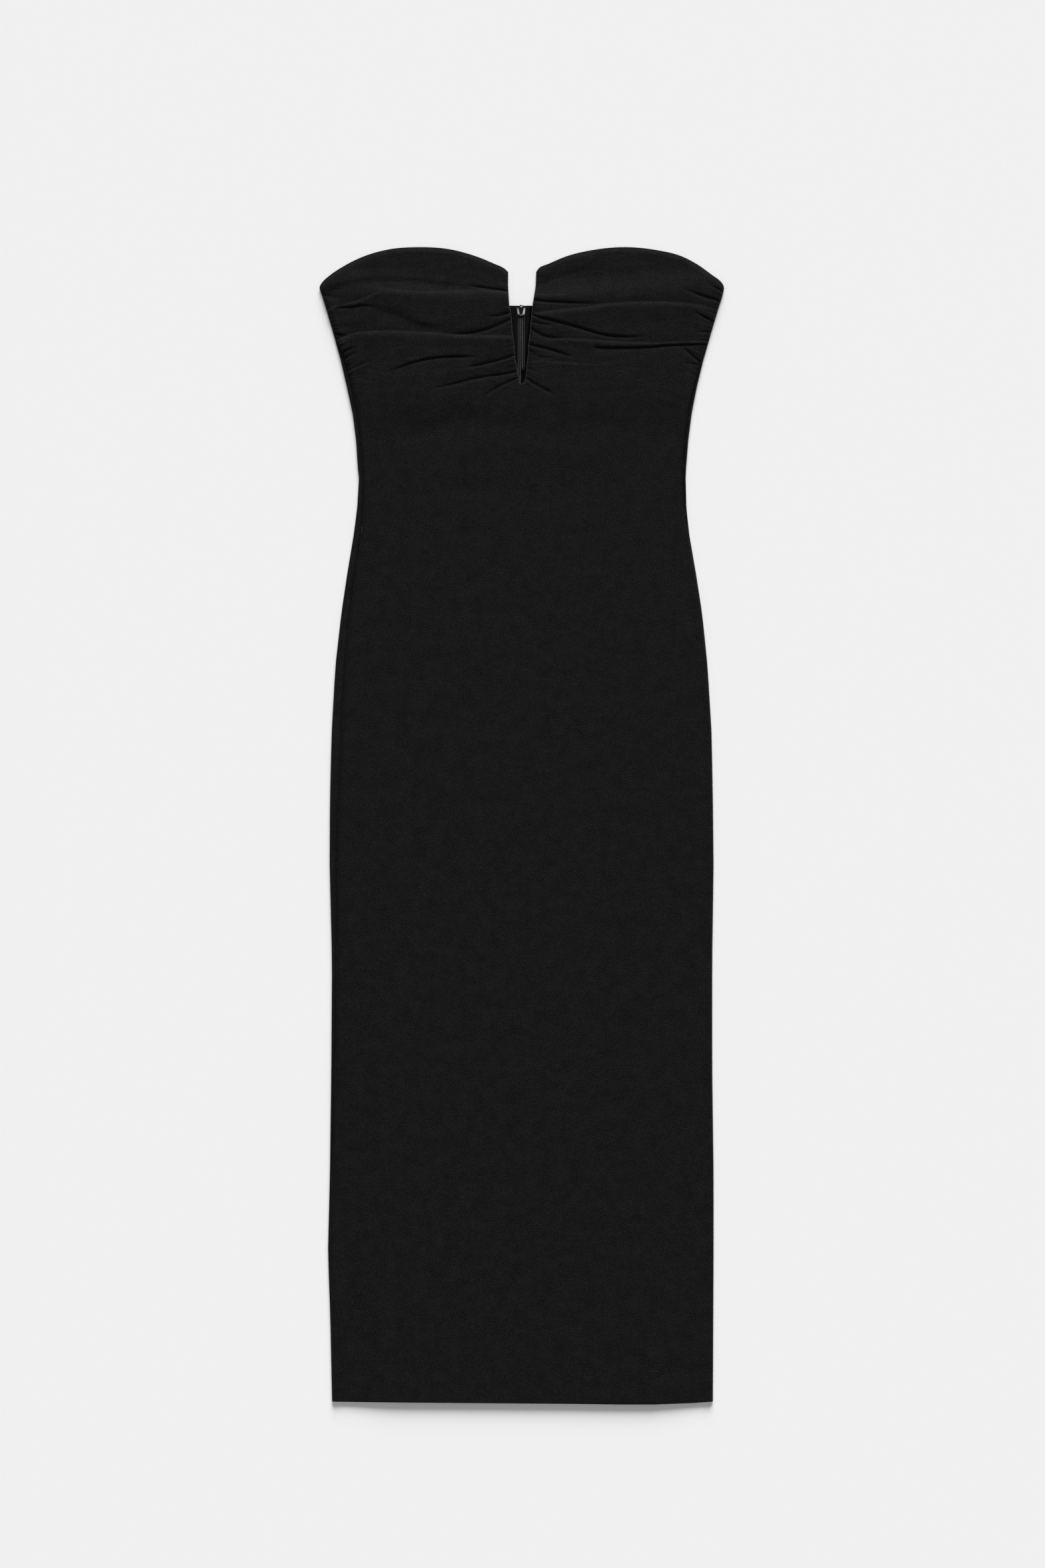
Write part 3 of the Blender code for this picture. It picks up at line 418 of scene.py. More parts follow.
def edge_puckers(height, from_edge, shift):
    """Fine uneven puckers between the gathers of a stitched edge."""
    ripple = np.sin(height * 2.25 + 1.6 * np.sin(height * 0.37 + shift) + 0.25 * from_edge)
    patches = 0.55 + 0.45 * np.sin(height * 0.61 + 2.0 * shift)
    return PUCKER_DEPTH * ripple * patches * np.exp(-((from_edge / PUCKER_LENGTH) ** 2))


def small_wrinkles(x, height):
    """Faint uneven wrinkles that run across the gathered bust."""
    bend = 5.0 * np.sin(x * 0.033 + 0.4) + 3.1 * np.sin(x * 0.071 + 1.9) + 0.05 * x
    coarse = np.sin((height + bend) * 0.52 + 1.7 * np.sin(x * 0.045 + height * 0.05))
    fine = np.sin((height - 0.6 * bend) * 1.13 + 2.6 * np.sin(x * 0.057 + 0.8) + 1.4 * np.sin(x * 0.13))
    patches = np.sin(x * 0.047 + height * 0.083) * np.sin(x * 0.021 - height * 0.11 + 1.0)
    return 0.10 * coarse * (0.5 + 0.5 * patches) + 0.04 * fine * (0.5 - 0.5 * patches)


def front_inside(x, height, reach):
    """Height of the front's plain inside over the flat part: a low crown that comes down to the
    surface beyond the backs' upper edge."""
    beyond = ease((height - back_top(x) - 2.0) / FALL_REACH)
    crown = CROWN_RISE * ease(reach / CROWN_REACH)
    rise = crown + soft_waves(x, height, BODY_WAVES) + 0.5 * hump(x, height)
    level = 2 * FOLD_RADIUS - SOLID_WALL
    lowest = LOWEST_INSIDE - level
    return level + rise * (1.0 - beyond) + lowest * beyond * ease(reach / 14.0)


def graded(total, first, growth, largest):
    """Distances from 0 to total with fine steps at both ends."""
    places = [0.0]
    while places[-1] < total:
        near = min(places[-1], max(0.0, total - places[-1]))
        places.append(places[-1] + min(largest, first + growth * near))
    return np.array(places) * total / places[-1]


ROUND_EDGE = 0.4


def sheet_mesh(name, outer, inner, quads, inner_quads, ring, roundness, flat):
    """A closed thin wall between two sets of points, its cut edge rounded, with its flat cut as UV map.
    The inside may skip points of the outside, also along the edge."""
    outer, inner, ring = np.asarray(outer), np.asarray(inner), np.asarray(ring)
    middle = (outer[ring] + inner[ring]) / 2
    tangent = np.roll(middle, -1, axis=0) - np.roll(middle, 1, axis=0)
    area = np.sum(middle[:, 0] * np.roll(middle[:, 1], -1) - np.roll(middle[:, 0], -1) * middle[:, 1])
    outward = np.stack([tangent[:, 1], -tangent[:, 0], np.zeros(len(ring))], axis=1) * np.sign(area)
    outward /= np.maximum(np.linalg.norm(outward, axis=1), 1e-9)[:, None]
    thick = np.linalg.norm(outer[ring] - inner[ring], axis=1)
    middle += outward * (np.minimum(thick / 2, ROUND_EDGE) * np.asarray(roundness))[:, None]
    count = len(outer)
    kept = sorted({int(index) for quad in inner_quads for index in quad})
    place = {index: count + len(ring) + order for order, index in enumerate(kept)}
    points = np.concatenate([outer, middle, inner[kept]]) * MM
    faces = [tuple(int(index) for index in quad) for quad in quads]
    faces += [tuple(place[int(index)] for index in reversed(quad)) for quad in inner_quads]
    for here in range(len(ring)):
        after = (here + 1) % len(ring)
        faces.append((int(ring[after]), int(ring[here]), count + here, count + after))
    anchors = [here for here in range(len(ring)) if int(ring[here]) in place]
    for order, here in enumerate(anchors):
        after = anchors[(order + 1) % len(anchors)]
        between = [(here + step) % len(ring) for step in range((after - here) % len(ring) + 1)]
        edge = [count + index for index in reversed(between)]
        faces.append((*edge, place[int(ring[here])], place[int(ring[after])]))
    mesh = bpy.data.meshes.new(name)
    mesh.from_pydata(points.tolist(), [], faces)
    uv_layer = mesh.uv_layers.new(name="cut")
    flat = np.asarray(flat)
    flat = np.concatenate([flat, flat[ring], flat[kept]]) * MM
    loops = np.empty(len(mesh.loops), np.int64)
    mesh.loops.foreach_get("vertex_index", loops)
    uv_layer.data.foreach_set("uv", flat[loops].astype(np.float32).ravel())
    shape = bmesh.new()
    shape.from_mesh(mesh)
    bmesh.ops.recalc_face_normals(shape, faces=shape.faces)
    shape.to_mesh(mesh)
    shape.free()
    made = bpy.data.objects.new(name, mesh)
    bpy.context.scene.collection.objects.link(made)
    made.data.shade_smooth()
    return made


COLUMNS = graded(195.0, 0.35, 0.12, 1.6) / 195.0
CUP_ROWS = graded(114.0, 0.4, 0.1, 0.66) / 114.0
body_heights = [NOTCH_FOOT]
while body_heights[-1] > 0.6:
    here = body_heights[-1]
    step = min(0.7 + 0.035 * (NOTCH_FOOT - here), 14.0, 0.5 + 0.3 * here)
    body_heights.append(max(0.0, here - step))
if body_heights[-1] > 0.0:
    body_heights.append(0.0)
BODY_ROWS = np.array(body_heights[::-1])
FOOT = len(BODY_ROWS) - 1
TOP = FOOT + len(CUP_ROWS) - 1
LAST = len(COLUMNS) - 1


def seam_flat_x(height, side):
    return unrolled_edge(height, side) - side * (seam_reach(height, side) + SEAM_GAP / 2)


def reached_along(line):
    return np.concatenate([[0.0], np.cumsum(np.hypot(np.diff(line[:, 0]), np.diff(line[:, 1])))])


def along(line, shares):
    reached = reached_along(line)
    reached = reached / reached[-1]
    return np.stack([np.interp(shares, reached, line[:, axis]) for axis in (0, 1)], axis=1)


def smoothed(line, steps):
    """A curve through an edge's points, so that the edge has no corners of its own."""
    reached = reached_along(line)
    fine = np.linspace(0.0, reached[-1], steps)
    curve = []
    for axis in (0, 1):
        values = line[:, axis]
        slopes = np.gradient(values, reached)
        cell = np.clip(np.searchsorted(reached, fine, side="right") - 1, 0, len(reached) - 2)
        width = reached[cell + 1] - reached[cell]
        t = (fine - reached[cell]) / width
        curve.append(
            (2 * t**3 - 3 * t**2 + 1) * values[cell]
            + (t**3 - 2 * t**2 + t) * width * slopes[cell]
            + (3 * t**2 - 2 * t**3) * values[cell + 1]
            + (t**3 - t**2) * width * slopes[cell + 1]
        )
    return np.stack(curve, axis=1)


def half_front_flat(side):
    """Places of one half of the front on its flattened cut, row by row from the hem."""
    places = np.empty((TOP + 1, LAST + 1, 2))
    middle = NOTCH_EDGE[side][0, 0]
    seam = seam_flat_x(BODY_ROWS, side)
    places[: FOOT + 1, :, 0] = seam[:, None] + COLUMNS[None, :] * (middle - seam)[:, None]
    places[: FOOT + 1, :, 1] = BODY_ROWS[:, None]
    places[: FOOT + 1, :, 1] += hem_lift(places[: FOOT + 1, :, 0], places[: FOOT + 1, :, 1])
    top = along(smoothed(CUP_EDGE[side], 160), COLUMNS)
    notch = along(smoothed(NOTCH_EDGE[side], 160), CUP_ROWS)
    for edge_height, length, depth, climb in NOTCH_TICKS[side]:
        notch[:, 0] += side * NOTCH_PULL * depth * np.exp(-(((notch[:, 1] - edge_height) / 1.3) ** 2))
    heights = NOTCH_FOOT + CUP_ROWS * (CORNER - NOTCH_FOOT)
    side_line = np.stack([seam_flat_x(heights, side), heights], axis=1)
    top[:, 0] += (1.0 - COLUMNS) ** 6 * (side_line[-1, 0] - top[0, 0])
    foot = places[FOOT]
    u = COLUMNS[None, :, None]
    v = CUP_ROWS[:, None, None]
    ruled = (1 - v) * foot[None] + v * top[None] + (1 - u) * side_line[:, None] + u * notch[:, None]
    corners = (1 - v) * ((1 - u) * foot[0] + u * foot[-1]) + v * ((1 - u) * top[0] + u * top[-1])
    places[FOOT:] = ruled - corners
    return places


def half_front_points(side, places):
    """Outer and inner points of one half of the front, and how much shade is painted at each, in its creases
    and gathers and in the side seam's groove.
    """
    flat_x, height = places[..., 0], places[..., 1]
    edge = edge_at(height, side)
    reach = side * (unrolled_edge(height, side) - flat_x)
    quarter = FOLD_RADIUS * math.pi / 2
    from_seam = np.hypot(flat_x - flat_x[:, :1], height - height[:, :1])
    from_notch, from_top = np.full_like(flat_x, 1e3), np.full_like(flat_x, 1e3)
    cup_x, cup_height = flat_x[FOOT:], height[FOOT:]
    from_notch[FOOT:] = np.hypot(cup_x - cup_x[:, -1:], cup_height - cup_height[:, -1:])
    from_top[FOOT:] = np.hypot(cup_x - cup_x[-1:], cup_height - cup_height[-1:])
    ruched = ease((height - RUCHED_FROM) / (RUCHED_FULL - RUCHED_FROM))
    inside = front_inside(flat_x, height, reach - quarter)
    free_edge = ease(from_notch / 4.0) * ease(from_top / 5.0)
    body = RUCHED_RISE * ruched * ease(from_seam / 6.0) * (0.35 + 0.65 * free_edge)
    folds, crease = line_lift(flat_x, height, BUST_FOLDS)
    at_notch, notch_crease = tick_lift(height, from_notch, NOTCH_TICKS[side])
    at_seam, seam_crease = tick_lift(height, from_seam, SEAM_TICKS[side])
    folds += at_notch + at_seam * ease(from_seam / 1.5)
    crease = np.maximum(crease, np.maximum(notch_crease, seam_crease))
    folds += edge_puckers(height, from_notch, 0.7 * side)
    folds += edge_puckers(height, from_seam, 1.9 + side) * ruched
    folds += small_wrinkles(flat_x, height) * ruched
    kept = ease((height - FOLDS_FROM) / FOLDS_OVER) * ease(from_top / 7.0)
    kept *= 0.45 + 0.55 * ease(from_notch / 3.0)
    folds *= kept
    for values in (folds, crease):
        values[:, 1:-1] = (values[:, :-2] + 2 * values[:, 1:-1] + values[:, 2:]) / 4
    crest = SEAM_CREST[side]
    roll = np.exp(-((np.maximum(0.0, from_seam - crest) / ROLL_REACH) ** 1.5))
    roll *= ROLL_RISE * ease(from_seam / crest)
    sunk = seam_depth(height, side)
    groove = GROOVE_DEPTH * sunk * np.exp(-(from_seam**2))
    hem_edge = HEM_PRESS * np.exp(-((height / HEM_PRESS_REACH) ** 2))
    turned = TURNED_PRESS * np.exp(-((np.minimum(from_top, from_notch) / 0.9) ** 2))
    wall = SOLID_WALL + body + folds + roll - groove - hem_edge - turned
    least = np.minimum(LEAST_WALL, SOLID_WALL - groove)
    wall = least + WALL_BLEND * np.logaddexp(0.0, (wall - least) / WALL_BLEND)
    wall = np.where(from_seam < 0.8, np.minimum(wall, SOLID_WALL), wall)
    inner_wall = np.minimum(0.4 - 0.2 * ruched, wall - 0.05)
    angle = np.minimum(reach, quarter) / FOLD_RADIUS
    on_arc = reach < quarter
    made = []
    for above_inside in (wall, inner_wall):
        radius = FOLD_RADIUS - SOLID_WALL + above_inside
        x = np.where(on_arc, edge - side * FOLD_RADIUS + side * radius * np.cos(angle), flat_x)
        z = np.where(on_arc, FOLD_RADIUS + radius * np.sin(angle), inside + above_inside)
        made.append(np.stack([x, height - HALF_LENGTH, z], axis=-1))
    # Painted shade in the creases and gathers, and painted shade in the side seam's groove.
    made.append(np.maximum(crease * kept, sunk * np.exp(-((from_seam / GROOVE_SHADE_REACH) ** 2))))
    return made


sides = (-1, 1)
flats = {side: half_front_flat(side) for side in sides}
number = {}
outer_points, inner_points, flat_points, painted_shade_points = [], [], [], []
for side in sides:
    outer_half, inner_half, painted_shade_half = half_front_points(side, flats[side])
    ids = np.arange(outer_half.shape[0] * outer_half.shape[1]).reshape(outer_half.shape[:2])
    if side == 1:
        keep = np.ones(ids.shape, bool)
        keep[: FOOT + 1, LAST] = False
        ids = np.full(ids.shape, -1)
        ids[keep] = len(outer_points) + np.arange(keep.sum())
        ids[: FOOT + 1, LAST] = number[-1][: FOOT + 1, LAST]
    else:
        keep = np.ones(ids.shape, bool)
    number[side] = ids
    outer_points.extend(outer_half[keep])
    inner_points.extend(inner_half[keep])
    flat_points.extend(flats[side][keep])
    painted_shade_points.extend(painted_shade_half[keep])
quads, inner_quads = [], []
inner_rows = sorted(set(range(0, TOP + 1, 4)) | {0, FOOT, TOP})
inner_columns = sorted(set(range(0, LAST + 1, 3)) | {0, 1, LAST})
for side in sides:
    grid = number[side]
    for found, rows, columns in (
        (quads, range(TOP + 1), range(LAST + 1)),
        (inner_quads, inner_rows, inner_columns),
    ):
        for low, high in zip(rows[:-1], rows[1:]):
            for near, far in zip(columns[:-1], columns[1:]):
                found.append((grid[low, near], grid[low, far], grid[high, far], grid[high, near]))
ring = list(number[-1][0, :LAST]) + list(number[1][0, ::-1])
ring += list(number[1][1:, 0]) + list(number[1][TOP, 1:])
ring += list(number[1][FOOT:TOP, LAST][::-1]) + list(number[-1][FOOT + 1 :, LAST])
ring += list(number[-1][TOP, :LAST][::-1]) + list(number[-1][1:TOP, 0][::-1])
seam_points = set(number[-1][:, 0]) | set(number[1][:, 0])
roundness = [0.0 if index in seam_points else 1.0 for index in ring]
front = sheet_mesh(
    "front_cloth", outer_points, inner_points, quads, inner_quads, ring, roundness, flat_points
)


def mark_painted_shade(cloth, values):
    """Keeps how much shade is painted at each point, in a crease, a seam or a shaded gap, for the colour of
    the piece.
    """
    mark = cloth.data.attributes.new("painted_shade", "FLOAT", "POINT")
    for index, value in enumerate(values):
        mark.data[index].value = float(value)


# Painted shade on the front in its creases, gathers and side seams.
mark_painted_shade(front, painted_shade_points)


def add_node(made, kind, inputs):
    """Adds a node to a material. Each input is a value, or the output of another node that feeds it."""
    added = made.node_tree.nodes.new("ShaderNode" + kind)
    for name, value in inputs.items():
        if isinstance(value, bpy.types.NodeSocket):
            made.node_tree.links.new(value, added.inputs[name])
        else:
            added.inputs[name].default_value = value
    return added


def start_material(name, **inputs):
    """A new material with the given values on its shader, spaces in their names written as underscores."""
    made = bpy.data.materials.new(name)
    made.use_nodes = True
    for socket, value in inputs.items():
        made.node_tree.nodes["Principled BSDF"].inputs[socket.replace("_", " ")].default_value = value
    return made


def feed(made, socket, output):
    """Feeds one of the shader's inputs from a node's output."""
    made.node_tree.links.new(output, made.node_tree.nodes["Principled BSDF"].inputs[socket])


def flat_cut(made):
    """Places on the cloth's flat cut, in metres."""
    cut = made.node_tree.nodes.new("ShaderNodeUVMap")
    cut.uv_map = "cut"
    return cut.outputs["UV"]


def colour_between(made, amount, dark, light, start=0.0, end=1.0):
    """A colour that goes from dark to light as an amount goes from start to end."""
    ramp = add_node(made, "ValToRGB", {"Fac": amount})
    for element, position, colour in zip(ramp.color_ramp.elements, (start, end), (dark, light)):
        element.position = position
        element.color = (*colour, 1.0)
    return ramp.outputs["Color"]


def gloss_between(made, amount, least, most):
    gloss = add_node(made, "MapRange", {"To Min": least, "To Max": most, "Value": amount})
    feed(made, "Roughness", gloss.outputs["Result"])


def raised(made, amount, strength):
    relief = add_node(made, "Bump", {"Strength": strength, "Distance": 0.2 * MM, "Height": amount})
    feed(made, "Normal", relief.outputs["Normal"])


def painted_shade_to(made, least, most):
    """A value that is most where no shade is painted and least where the most shade is painted, in a crease,
    a seam or a shaded gap.
    """
    painted_shade = made.node_tree.nodes.new("ShaderNodeAttribute")
    painted_shade.attribute_name = "painted_shade"
    shade = add_node(made, "MapRange", {"To Min": most, "To Max": least, "Value": painted_shade.outputs["Fac"]})
    return shade.outputs["Result"]


# Painted shade: scales a colour down where the painted shade mark is high.
def darken_by_painted_shade(made, colour, least):
    deep = made.node_tree.nodes.new("ShaderNodeVectorMath")
    deep.operation = "SCALE"
    made.node_tree.links.new(colour, deep.inputs[0])
    made.node_tree.links.new(painted_shade_to(made, least, 1.0), deep.inputs["Scale"])
    feed(made, "Base Color", deep.outputs["Vector"])


def crepe(name, dark, light):
    """Matte crepe: a fine uneven grain in colour, gloss and relief, on the cloth's own cut, with painted
    shade that darkens it in its creases, gathers and seams.
    """
    made = start_material(name, Specular_IOR_Level=0.08, Sheen_Weight=0.2, Sheen_Roughness=0.35)
    cut = flat_cut(made)
    fine = add_node(made, "TexNoise", {"Scale": 1000.0, "Detail": 1.0, "Roughness": 0.6, "Vector": cut})
    broad = add_node(made, "TexNoise", {"Scale": 62.0, "Detail": 3.0, "Roughness": 1.0, "Vector": cut})
    mixed = add_node(made, "Mix", {0: 0.25, 2: fine.outputs["Fac"], 3: broad.outputs["Fac"]})
    darken_by_painted_shade(made, colour_between(made, mixed.outputs[0], dark, light, 0.386, 0.68), 0.06)
    gloss_between(made, fine.outputs["Fac"], 0.72, 0.92)
    long_yarn = add_node(made, "Mapping", {"Scale": (1.0, 0.55, 1.0), "Vector": cut})
    yarn = add_node(made, "TexNoise", {"Scale": 1150.0, "Detail": 2.0, "Vector": long_yarn.outputs["Vector"]})
    raised(made, yarn.outputs["Fac"], 0.5)
    return made


black_crepe = crepe("black_crepe", (0.0, 0.0, 0.0), (0.0147, 0.0144, 0.0148))
front.data.materials.append(black_crepe)
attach(front, "dress")
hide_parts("front")


# Backs.
# Two mirrored panels of the same crepe, sewn together at centre back below the zip. Each lies under the
# front and turns over the side fold to its side seam, which shows on the upper side.
SLIT_AT_SLIDER = 1.1
SLIDER_FOOT = 1108.5
# Soft creases of the backs, in the columns of BODY_WAVES
BACK_TROUGHS = [
    (-0.45, 9.0, 0.2, 0.4, [(-160, 900), (-110, 915), (-50, 925)]),
    (-0.5, 12.0, 0.3, 0.3, [(-130, 840), (-120, 700), (-124, 560)]),
    (-0.45, 8.0, 0.0, 0.5, [(-180, 1060), (-140, 1052), (-95, 1050)]),
    (-0.45, 7.0, 0.0, 0.5, [(-186, 1090), (-150, 1086), (-110, 1080)]),
    (-0.45, 9.0, 0.2, 0.4, [(165, 905), (115, 920), (60, 922)]),
    (-0.5, 13.0, 0.3, 0.3, [(120, 860), (128, 720), (118, 600)]),
    (-0.45, 8.0, 0.0, 0.5, [(182, 1064), (140, 1058), (90, 1057)]),
    (-0.45, 7.0, 0.0, 0.5, [(188, 1094), (150, 1092), (105, 1087)]),
    (-0.45, 16.0, 0.3, 0.3, [(-60, 420), (-70, 300), (-64, 180)]),
    (-0.45, 16.0, 0.3, 0.3, [(80, 470), (74, 340), (82, 200)]),
]


def slit(height):
    """Half width of the centre-back gap, wider where the slider passes through it."""
    share = ease((height - (SLIDER_FOOT - 8.0)) / 6.0)
    return SEAM_GAP / 2 + share * (SLIT_AT_SLIDER - SEAM_GAP / 2)


def back_inside(x, height):
    return hump(x, height) + SOLID_WALL


CUP_PART = np.linspace(0.0, 1.0, 46)[1:]
BACK_HEIGHTS = np.concatenate([
    BODY_ROWS[BODY_ROWS < 900][::2], np.arange(900.0, NOTCH_FOOT, 3.5), [NOTCH_FOOT],
    NOTCH_FOOT + CUP_PART * (CORNER - NOTCH_FOOT),
])
BACK_FLAT = graded(1.0, 0.004, 0.16, 0.05)
LOWER_ARC = np.linspace(-1.0, 0.0, 7)[1:]
UPPER_ARC = np.linspace(0.0, 1.0, 7)[1:]
UPPER_END = np.array([0.4, 0.7, 0.88, 1.0])
CENTRE_SEAM_DEPTH = 0.45
HEM_THINNING = 0.2
BACK_GROOVE_DEPTH = 0.8
BACK_GROOVE_SHADE_REACH = 1.3


def back_points(side):
    """Outer and inner points of one back, their places on the flat cut, and how much shade is painted at each
    in the side seam's groove. Rows run from the hem, and columns from centre back."""
    outer, inner, flat, painted_shade = [], [], [], []
    quarter = FOLD_RADIUS * math.pi / 2
    for seam_height in BACK_HEIGHTS:
        edge = float(edge_at(seam_height, side))
        centre = edge - side * FOLD_RADIUS
        spread = abs(centre - ZIP_X)
        over = max(0.0, (seam_height - NOTCH_FOOT) / (CORNER - NOTCH_FOOT))
        start = float(slit(min(seam_height, NOTCH_FOOT) + over * (BACK_TOP[0, 1] - NOTCH_FOOT)))
        x = ZIP_X + side * (start + BACK_FLAT * (spread - start))
        height = np.full_like(x, seam_height)
        if over > 0:
            height = NOTCH_FOOT + over * (back_top(x) - NOTCH_FOOT)
        height = height + hem_lift(x, height)
        from_centre = np.abs(x - ZIP_X) - start
        dent = -soft_waves(x, height, BACK_TROUGHS)
        dent += CENTRE_SEAM_DEPTH * np.exp(-((from_centre / 1.3) ** 2))
        dent += HEM_THINNING * np.exp(-((seam_height / HEM_PRESS_REACH) ** 2))
        z = hump(x, height)
        points = np.stack([x, height - HALF_LENGTH, z + dent], axis=1)
        row_outer = list(points)
        row_inner = list(points + np.stack([0 * x, 0 * x, np.minimum(SHELL, SOLID_WALL - dent)], axis=1))
        row_flat = list(np.stack([x, height], axis=1))
        last = float(seam_reach(seam_height, side)) - SEAM_GAP / 2
        y = seam_height + float(hem_lift(edge, seam_height)) - HALF_LENGTH
        reaches = list(quarter * LOWER_ARC)
        upper = [min(quarter * part, last * 0.6 * part) for part in UPPER_ARC]
        reaches += upper + [upper[-1] + part * (last - upper[-1]) for part in UPPER_END]
        sunk = float(seam_depth(seam_height, side))
        row_painted_shade = [0.0] * len(x)
        for reach in reaches:
            from_seam = last - reach
            # Painted shade in the side seam's groove.
            row_painted_shade.append(sunk * math.exp(-((from_seam / BACK_GROOVE_SHADE_REACH) ** 2)))
            wall = SOLID_WALL - BACK_GROOVE_DEPTH * sunk * math.exp(-(from_seam**2))
            if reach > quarter:
                wall += 0.25 * math.exp(-(((from_seam - 3.4) / 2.0) ** 2))
            shell = min(SHELL, wall - 0.05)
            angle = min(reach, quarter) / FOLD_RADIUS
            turned_x = centre - side * (reach - quarter)
            for above_inside, points_out in ((wall, row_outer), (wall - shell, row_inner)):
                if reach <= quarter:
                    radius = FOLD_RADIUS - SOLID_WALL + above_inside
                    place_x = centre + side * radius * math.cos(angle)
                    place_z = FOLD_RADIUS + radius * math.sin(angle)
                else:
                    where = (np.array(value) for value in (turned_x, seam_height, reach - quarter))
                    place_x = turned_x
                    place_z = float(front_inside(*where)) + above_inside
                points_out.append(np.array((place_x, y, place_z)))
            row_flat.append(np.array([centre + side * (reach + quarter), y + HALF_LENGTH]))
        outer.append(row_outer)
        inner.append(row_inner)
        flat.append(row_flat)
        painted_shade.append(row_painted_shade)
    return np.array(outer), np.array(inner), np.array(flat), np.array(painted_shade)


def grid_quads(rows, columns):
    quads = []
    for row in range(rows - 1):
        for column in range(columns - 1):
            a = row * columns + column
            quads.append((a, a + 1, a + 1 + columns, a + columns))
    return quads


def grid_ring(rows, columns):
    ring = list(range(columns))
    ring += [row * columns + columns - 1 for row in range(1, rows)]
    ring += [(rows - 1) * columns + column for column in range(columns - 2, -1, -1)]
    ring += [row * columns for row in range(rows - 2, 0, -1)]
    return ring


def grid_sheet(name, outer, inner, flat, roundness, square=()):
    """A closed thin wall over a plain grid of points. Its edge is square along the columns named square."""
    rows, columns = outer.shape[:2]
    quads = grid_quads(rows, columns)
    ring = grid_ring(rows, columns)
    stays_square = [column % columns for column in square]
    rounds = [0.0 if index % columns in stays_square else roundness for index in ring]
    outer, inner = outer.reshape(-1, 3), inner.reshape(-1, 3)
    return sheet_mesh(name, outer, inner, quads, quads, ring, rounds, flat.reshape(-1, 2))


for name, side in (("right", -1), ("left", 1)):
    outer, inner, flat, painted_shade = back_points(side)
    back = grid_sheet("back_cloth_" + name, outer, inner, flat, 1.0, square=(0, -1))
    # Painted shade along the back's side seam.
    mark_painted_shade(back, painted_shade.ravel())
    back.data.materials.append(black_crepe)
    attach(back, "dress")
    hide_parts("back_" + name)


# Zip tapes.
# Narrow black woven tapes, one sewn to each back beside the centre-back gap, on the inside. They part
# round the slider, and their upper ends are rounded off.
TAPE_FOOT = 617.0
TAPE_TOP = 1119.8
TAPE_INNER = 3.55
TAPE_AT_SLIDER = 5.0
TAPE_OUTER = 15.25
TAPE_WALL = 0.6
TAPE_CORNER = 2.5
PARTS_FROM = 1097.0
PARTS_OVER = 8.0
# How far from the notch's edge, on the tape's side, its painted shadow still falls
UNDER_EDGE = {-1: 0.0, 1: 2.2}
SHADE_FADE = 0.9


def tape_grid(side):
    """Outer and inner points of one tape and their places on its flat cut, in rows up from its foot."""
    lower = np.arange(TAPE_FOOT, 1030.0, 6.0)
    heights = np.concatenate([lower, np.arange(1030.0, TAPE_TOP, 1.2), [TAPE_TOP]])
    across = np.linspace(0.0, 1.0, 25)
    outer, inner, flat = [], [], []
    for height in heights:
        past_corner = max(0.0, TAPE_CORNER - (TAPE_TOP - height))
        cut_in = TAPE_CORNER - math.sqrt(max(0.0, TAPE_CORNER**2 - past_corner**2))
        parted = float(ease((height - PARTS_FROM) / PARTS_OVER))
        start = TAPE_INNER + (TAPE_AT_SLIDER - TAPE_INNER) * parted + 0.6 * cut_in
        end = TAPE_OUTER - 0.6 * cut_in
        away = start + across * (end - start)
        x = ZIP_X + side * away
        z = back_inside(x, height) + SEAM_GAP
        bead = 0.12 * np.exp(-(((away - start) / 0.7) ** 2)) + 0.05 * np.sin(height * 0.33 + away)
        y = np.full_like(x, height - HALF_LENGTH)
        inner.append(np.stack([x, y, z], axis=1))
        outer.append(np.stack([x, y, z + TAPE_WALL + bead], axis=1))
        flat.append(np.stack([away, np.full_like(away, height)], axis=1))
    return np.array(outer), np.array(inner), np.array(flat)


tape_black = start_material("tape_black", Specular_IOR_Level=0.04)
twill = add_node(
    tape_black, "TexWave", {"Scale": 1150.0, "Distortion": 0.8, "Detail": 2.0, "Vector": flat_cut(tape_black)}
)
twill.bands_direction = "DIAGONAL"
twill = twill.outputs["Fac"]
colour = colour_between(tape_black, twill, (0.002, 0.002, 0.0022), (0.0056, 0.0056, 0.006))
# Painted shadow: the tape goes black where the front's notch edge shades it.
darken_by_painted_shade(tape_black, colour, 0.0)
gloss_between(tape_black, twill, 0.6, 0.85)
raised(tape_black, twill, 0.4)
for name, side in (("right", -1), ("left", 1)):
    tape = grid_sheet("zip_tape_woven_" + name, *tape_grid(side), 0.4)
    tape_x, tape_height = (
        np.array([vertex.co[axis] / MM for vertex in tape.data.vertices]) for axis in (0, 1)
    )
    edge_x = np.interp(tape_height + HALF_LENGTH, *NOTCH_EDGE[side][:, ::-1].T)
    # Painted shadow of the front's notch edge: full under the edge, fading out beside it.
    in_shade = side * (tape_x - edge_x) + UNDER_EDGE[side]
    mark_painted_shade(tape, ease((in_shade + SHADE_FADE) / SHADE_FADE))
    tape.data.materials.append(tape_black)
    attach(tape, "dress")
    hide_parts("zip_tape_" + name)


# Zip coils.
# Black nylon filament wound in small loops and sewn along each tape's inner edge over a flat cord. The
# loops of the two sides lean towards each other and mesh at centre back.
COIL_PITCH = 0.92
COIL_LENGTH = SLIDER_FOOT + 0.4 - TAPE_FOOT
LOOP_RADIUS = 0.42
LOOP_LENGTH = 1.9
LOOP_CENTRE = 1.2
LOOP_TILT = math.radians(24.0)
LOOP_TURN = math.radians(14.0)
LOOP_LEVEL = 0.9
LOOP_SWELL = 1.15
SHADED_FOOT = 1060.0
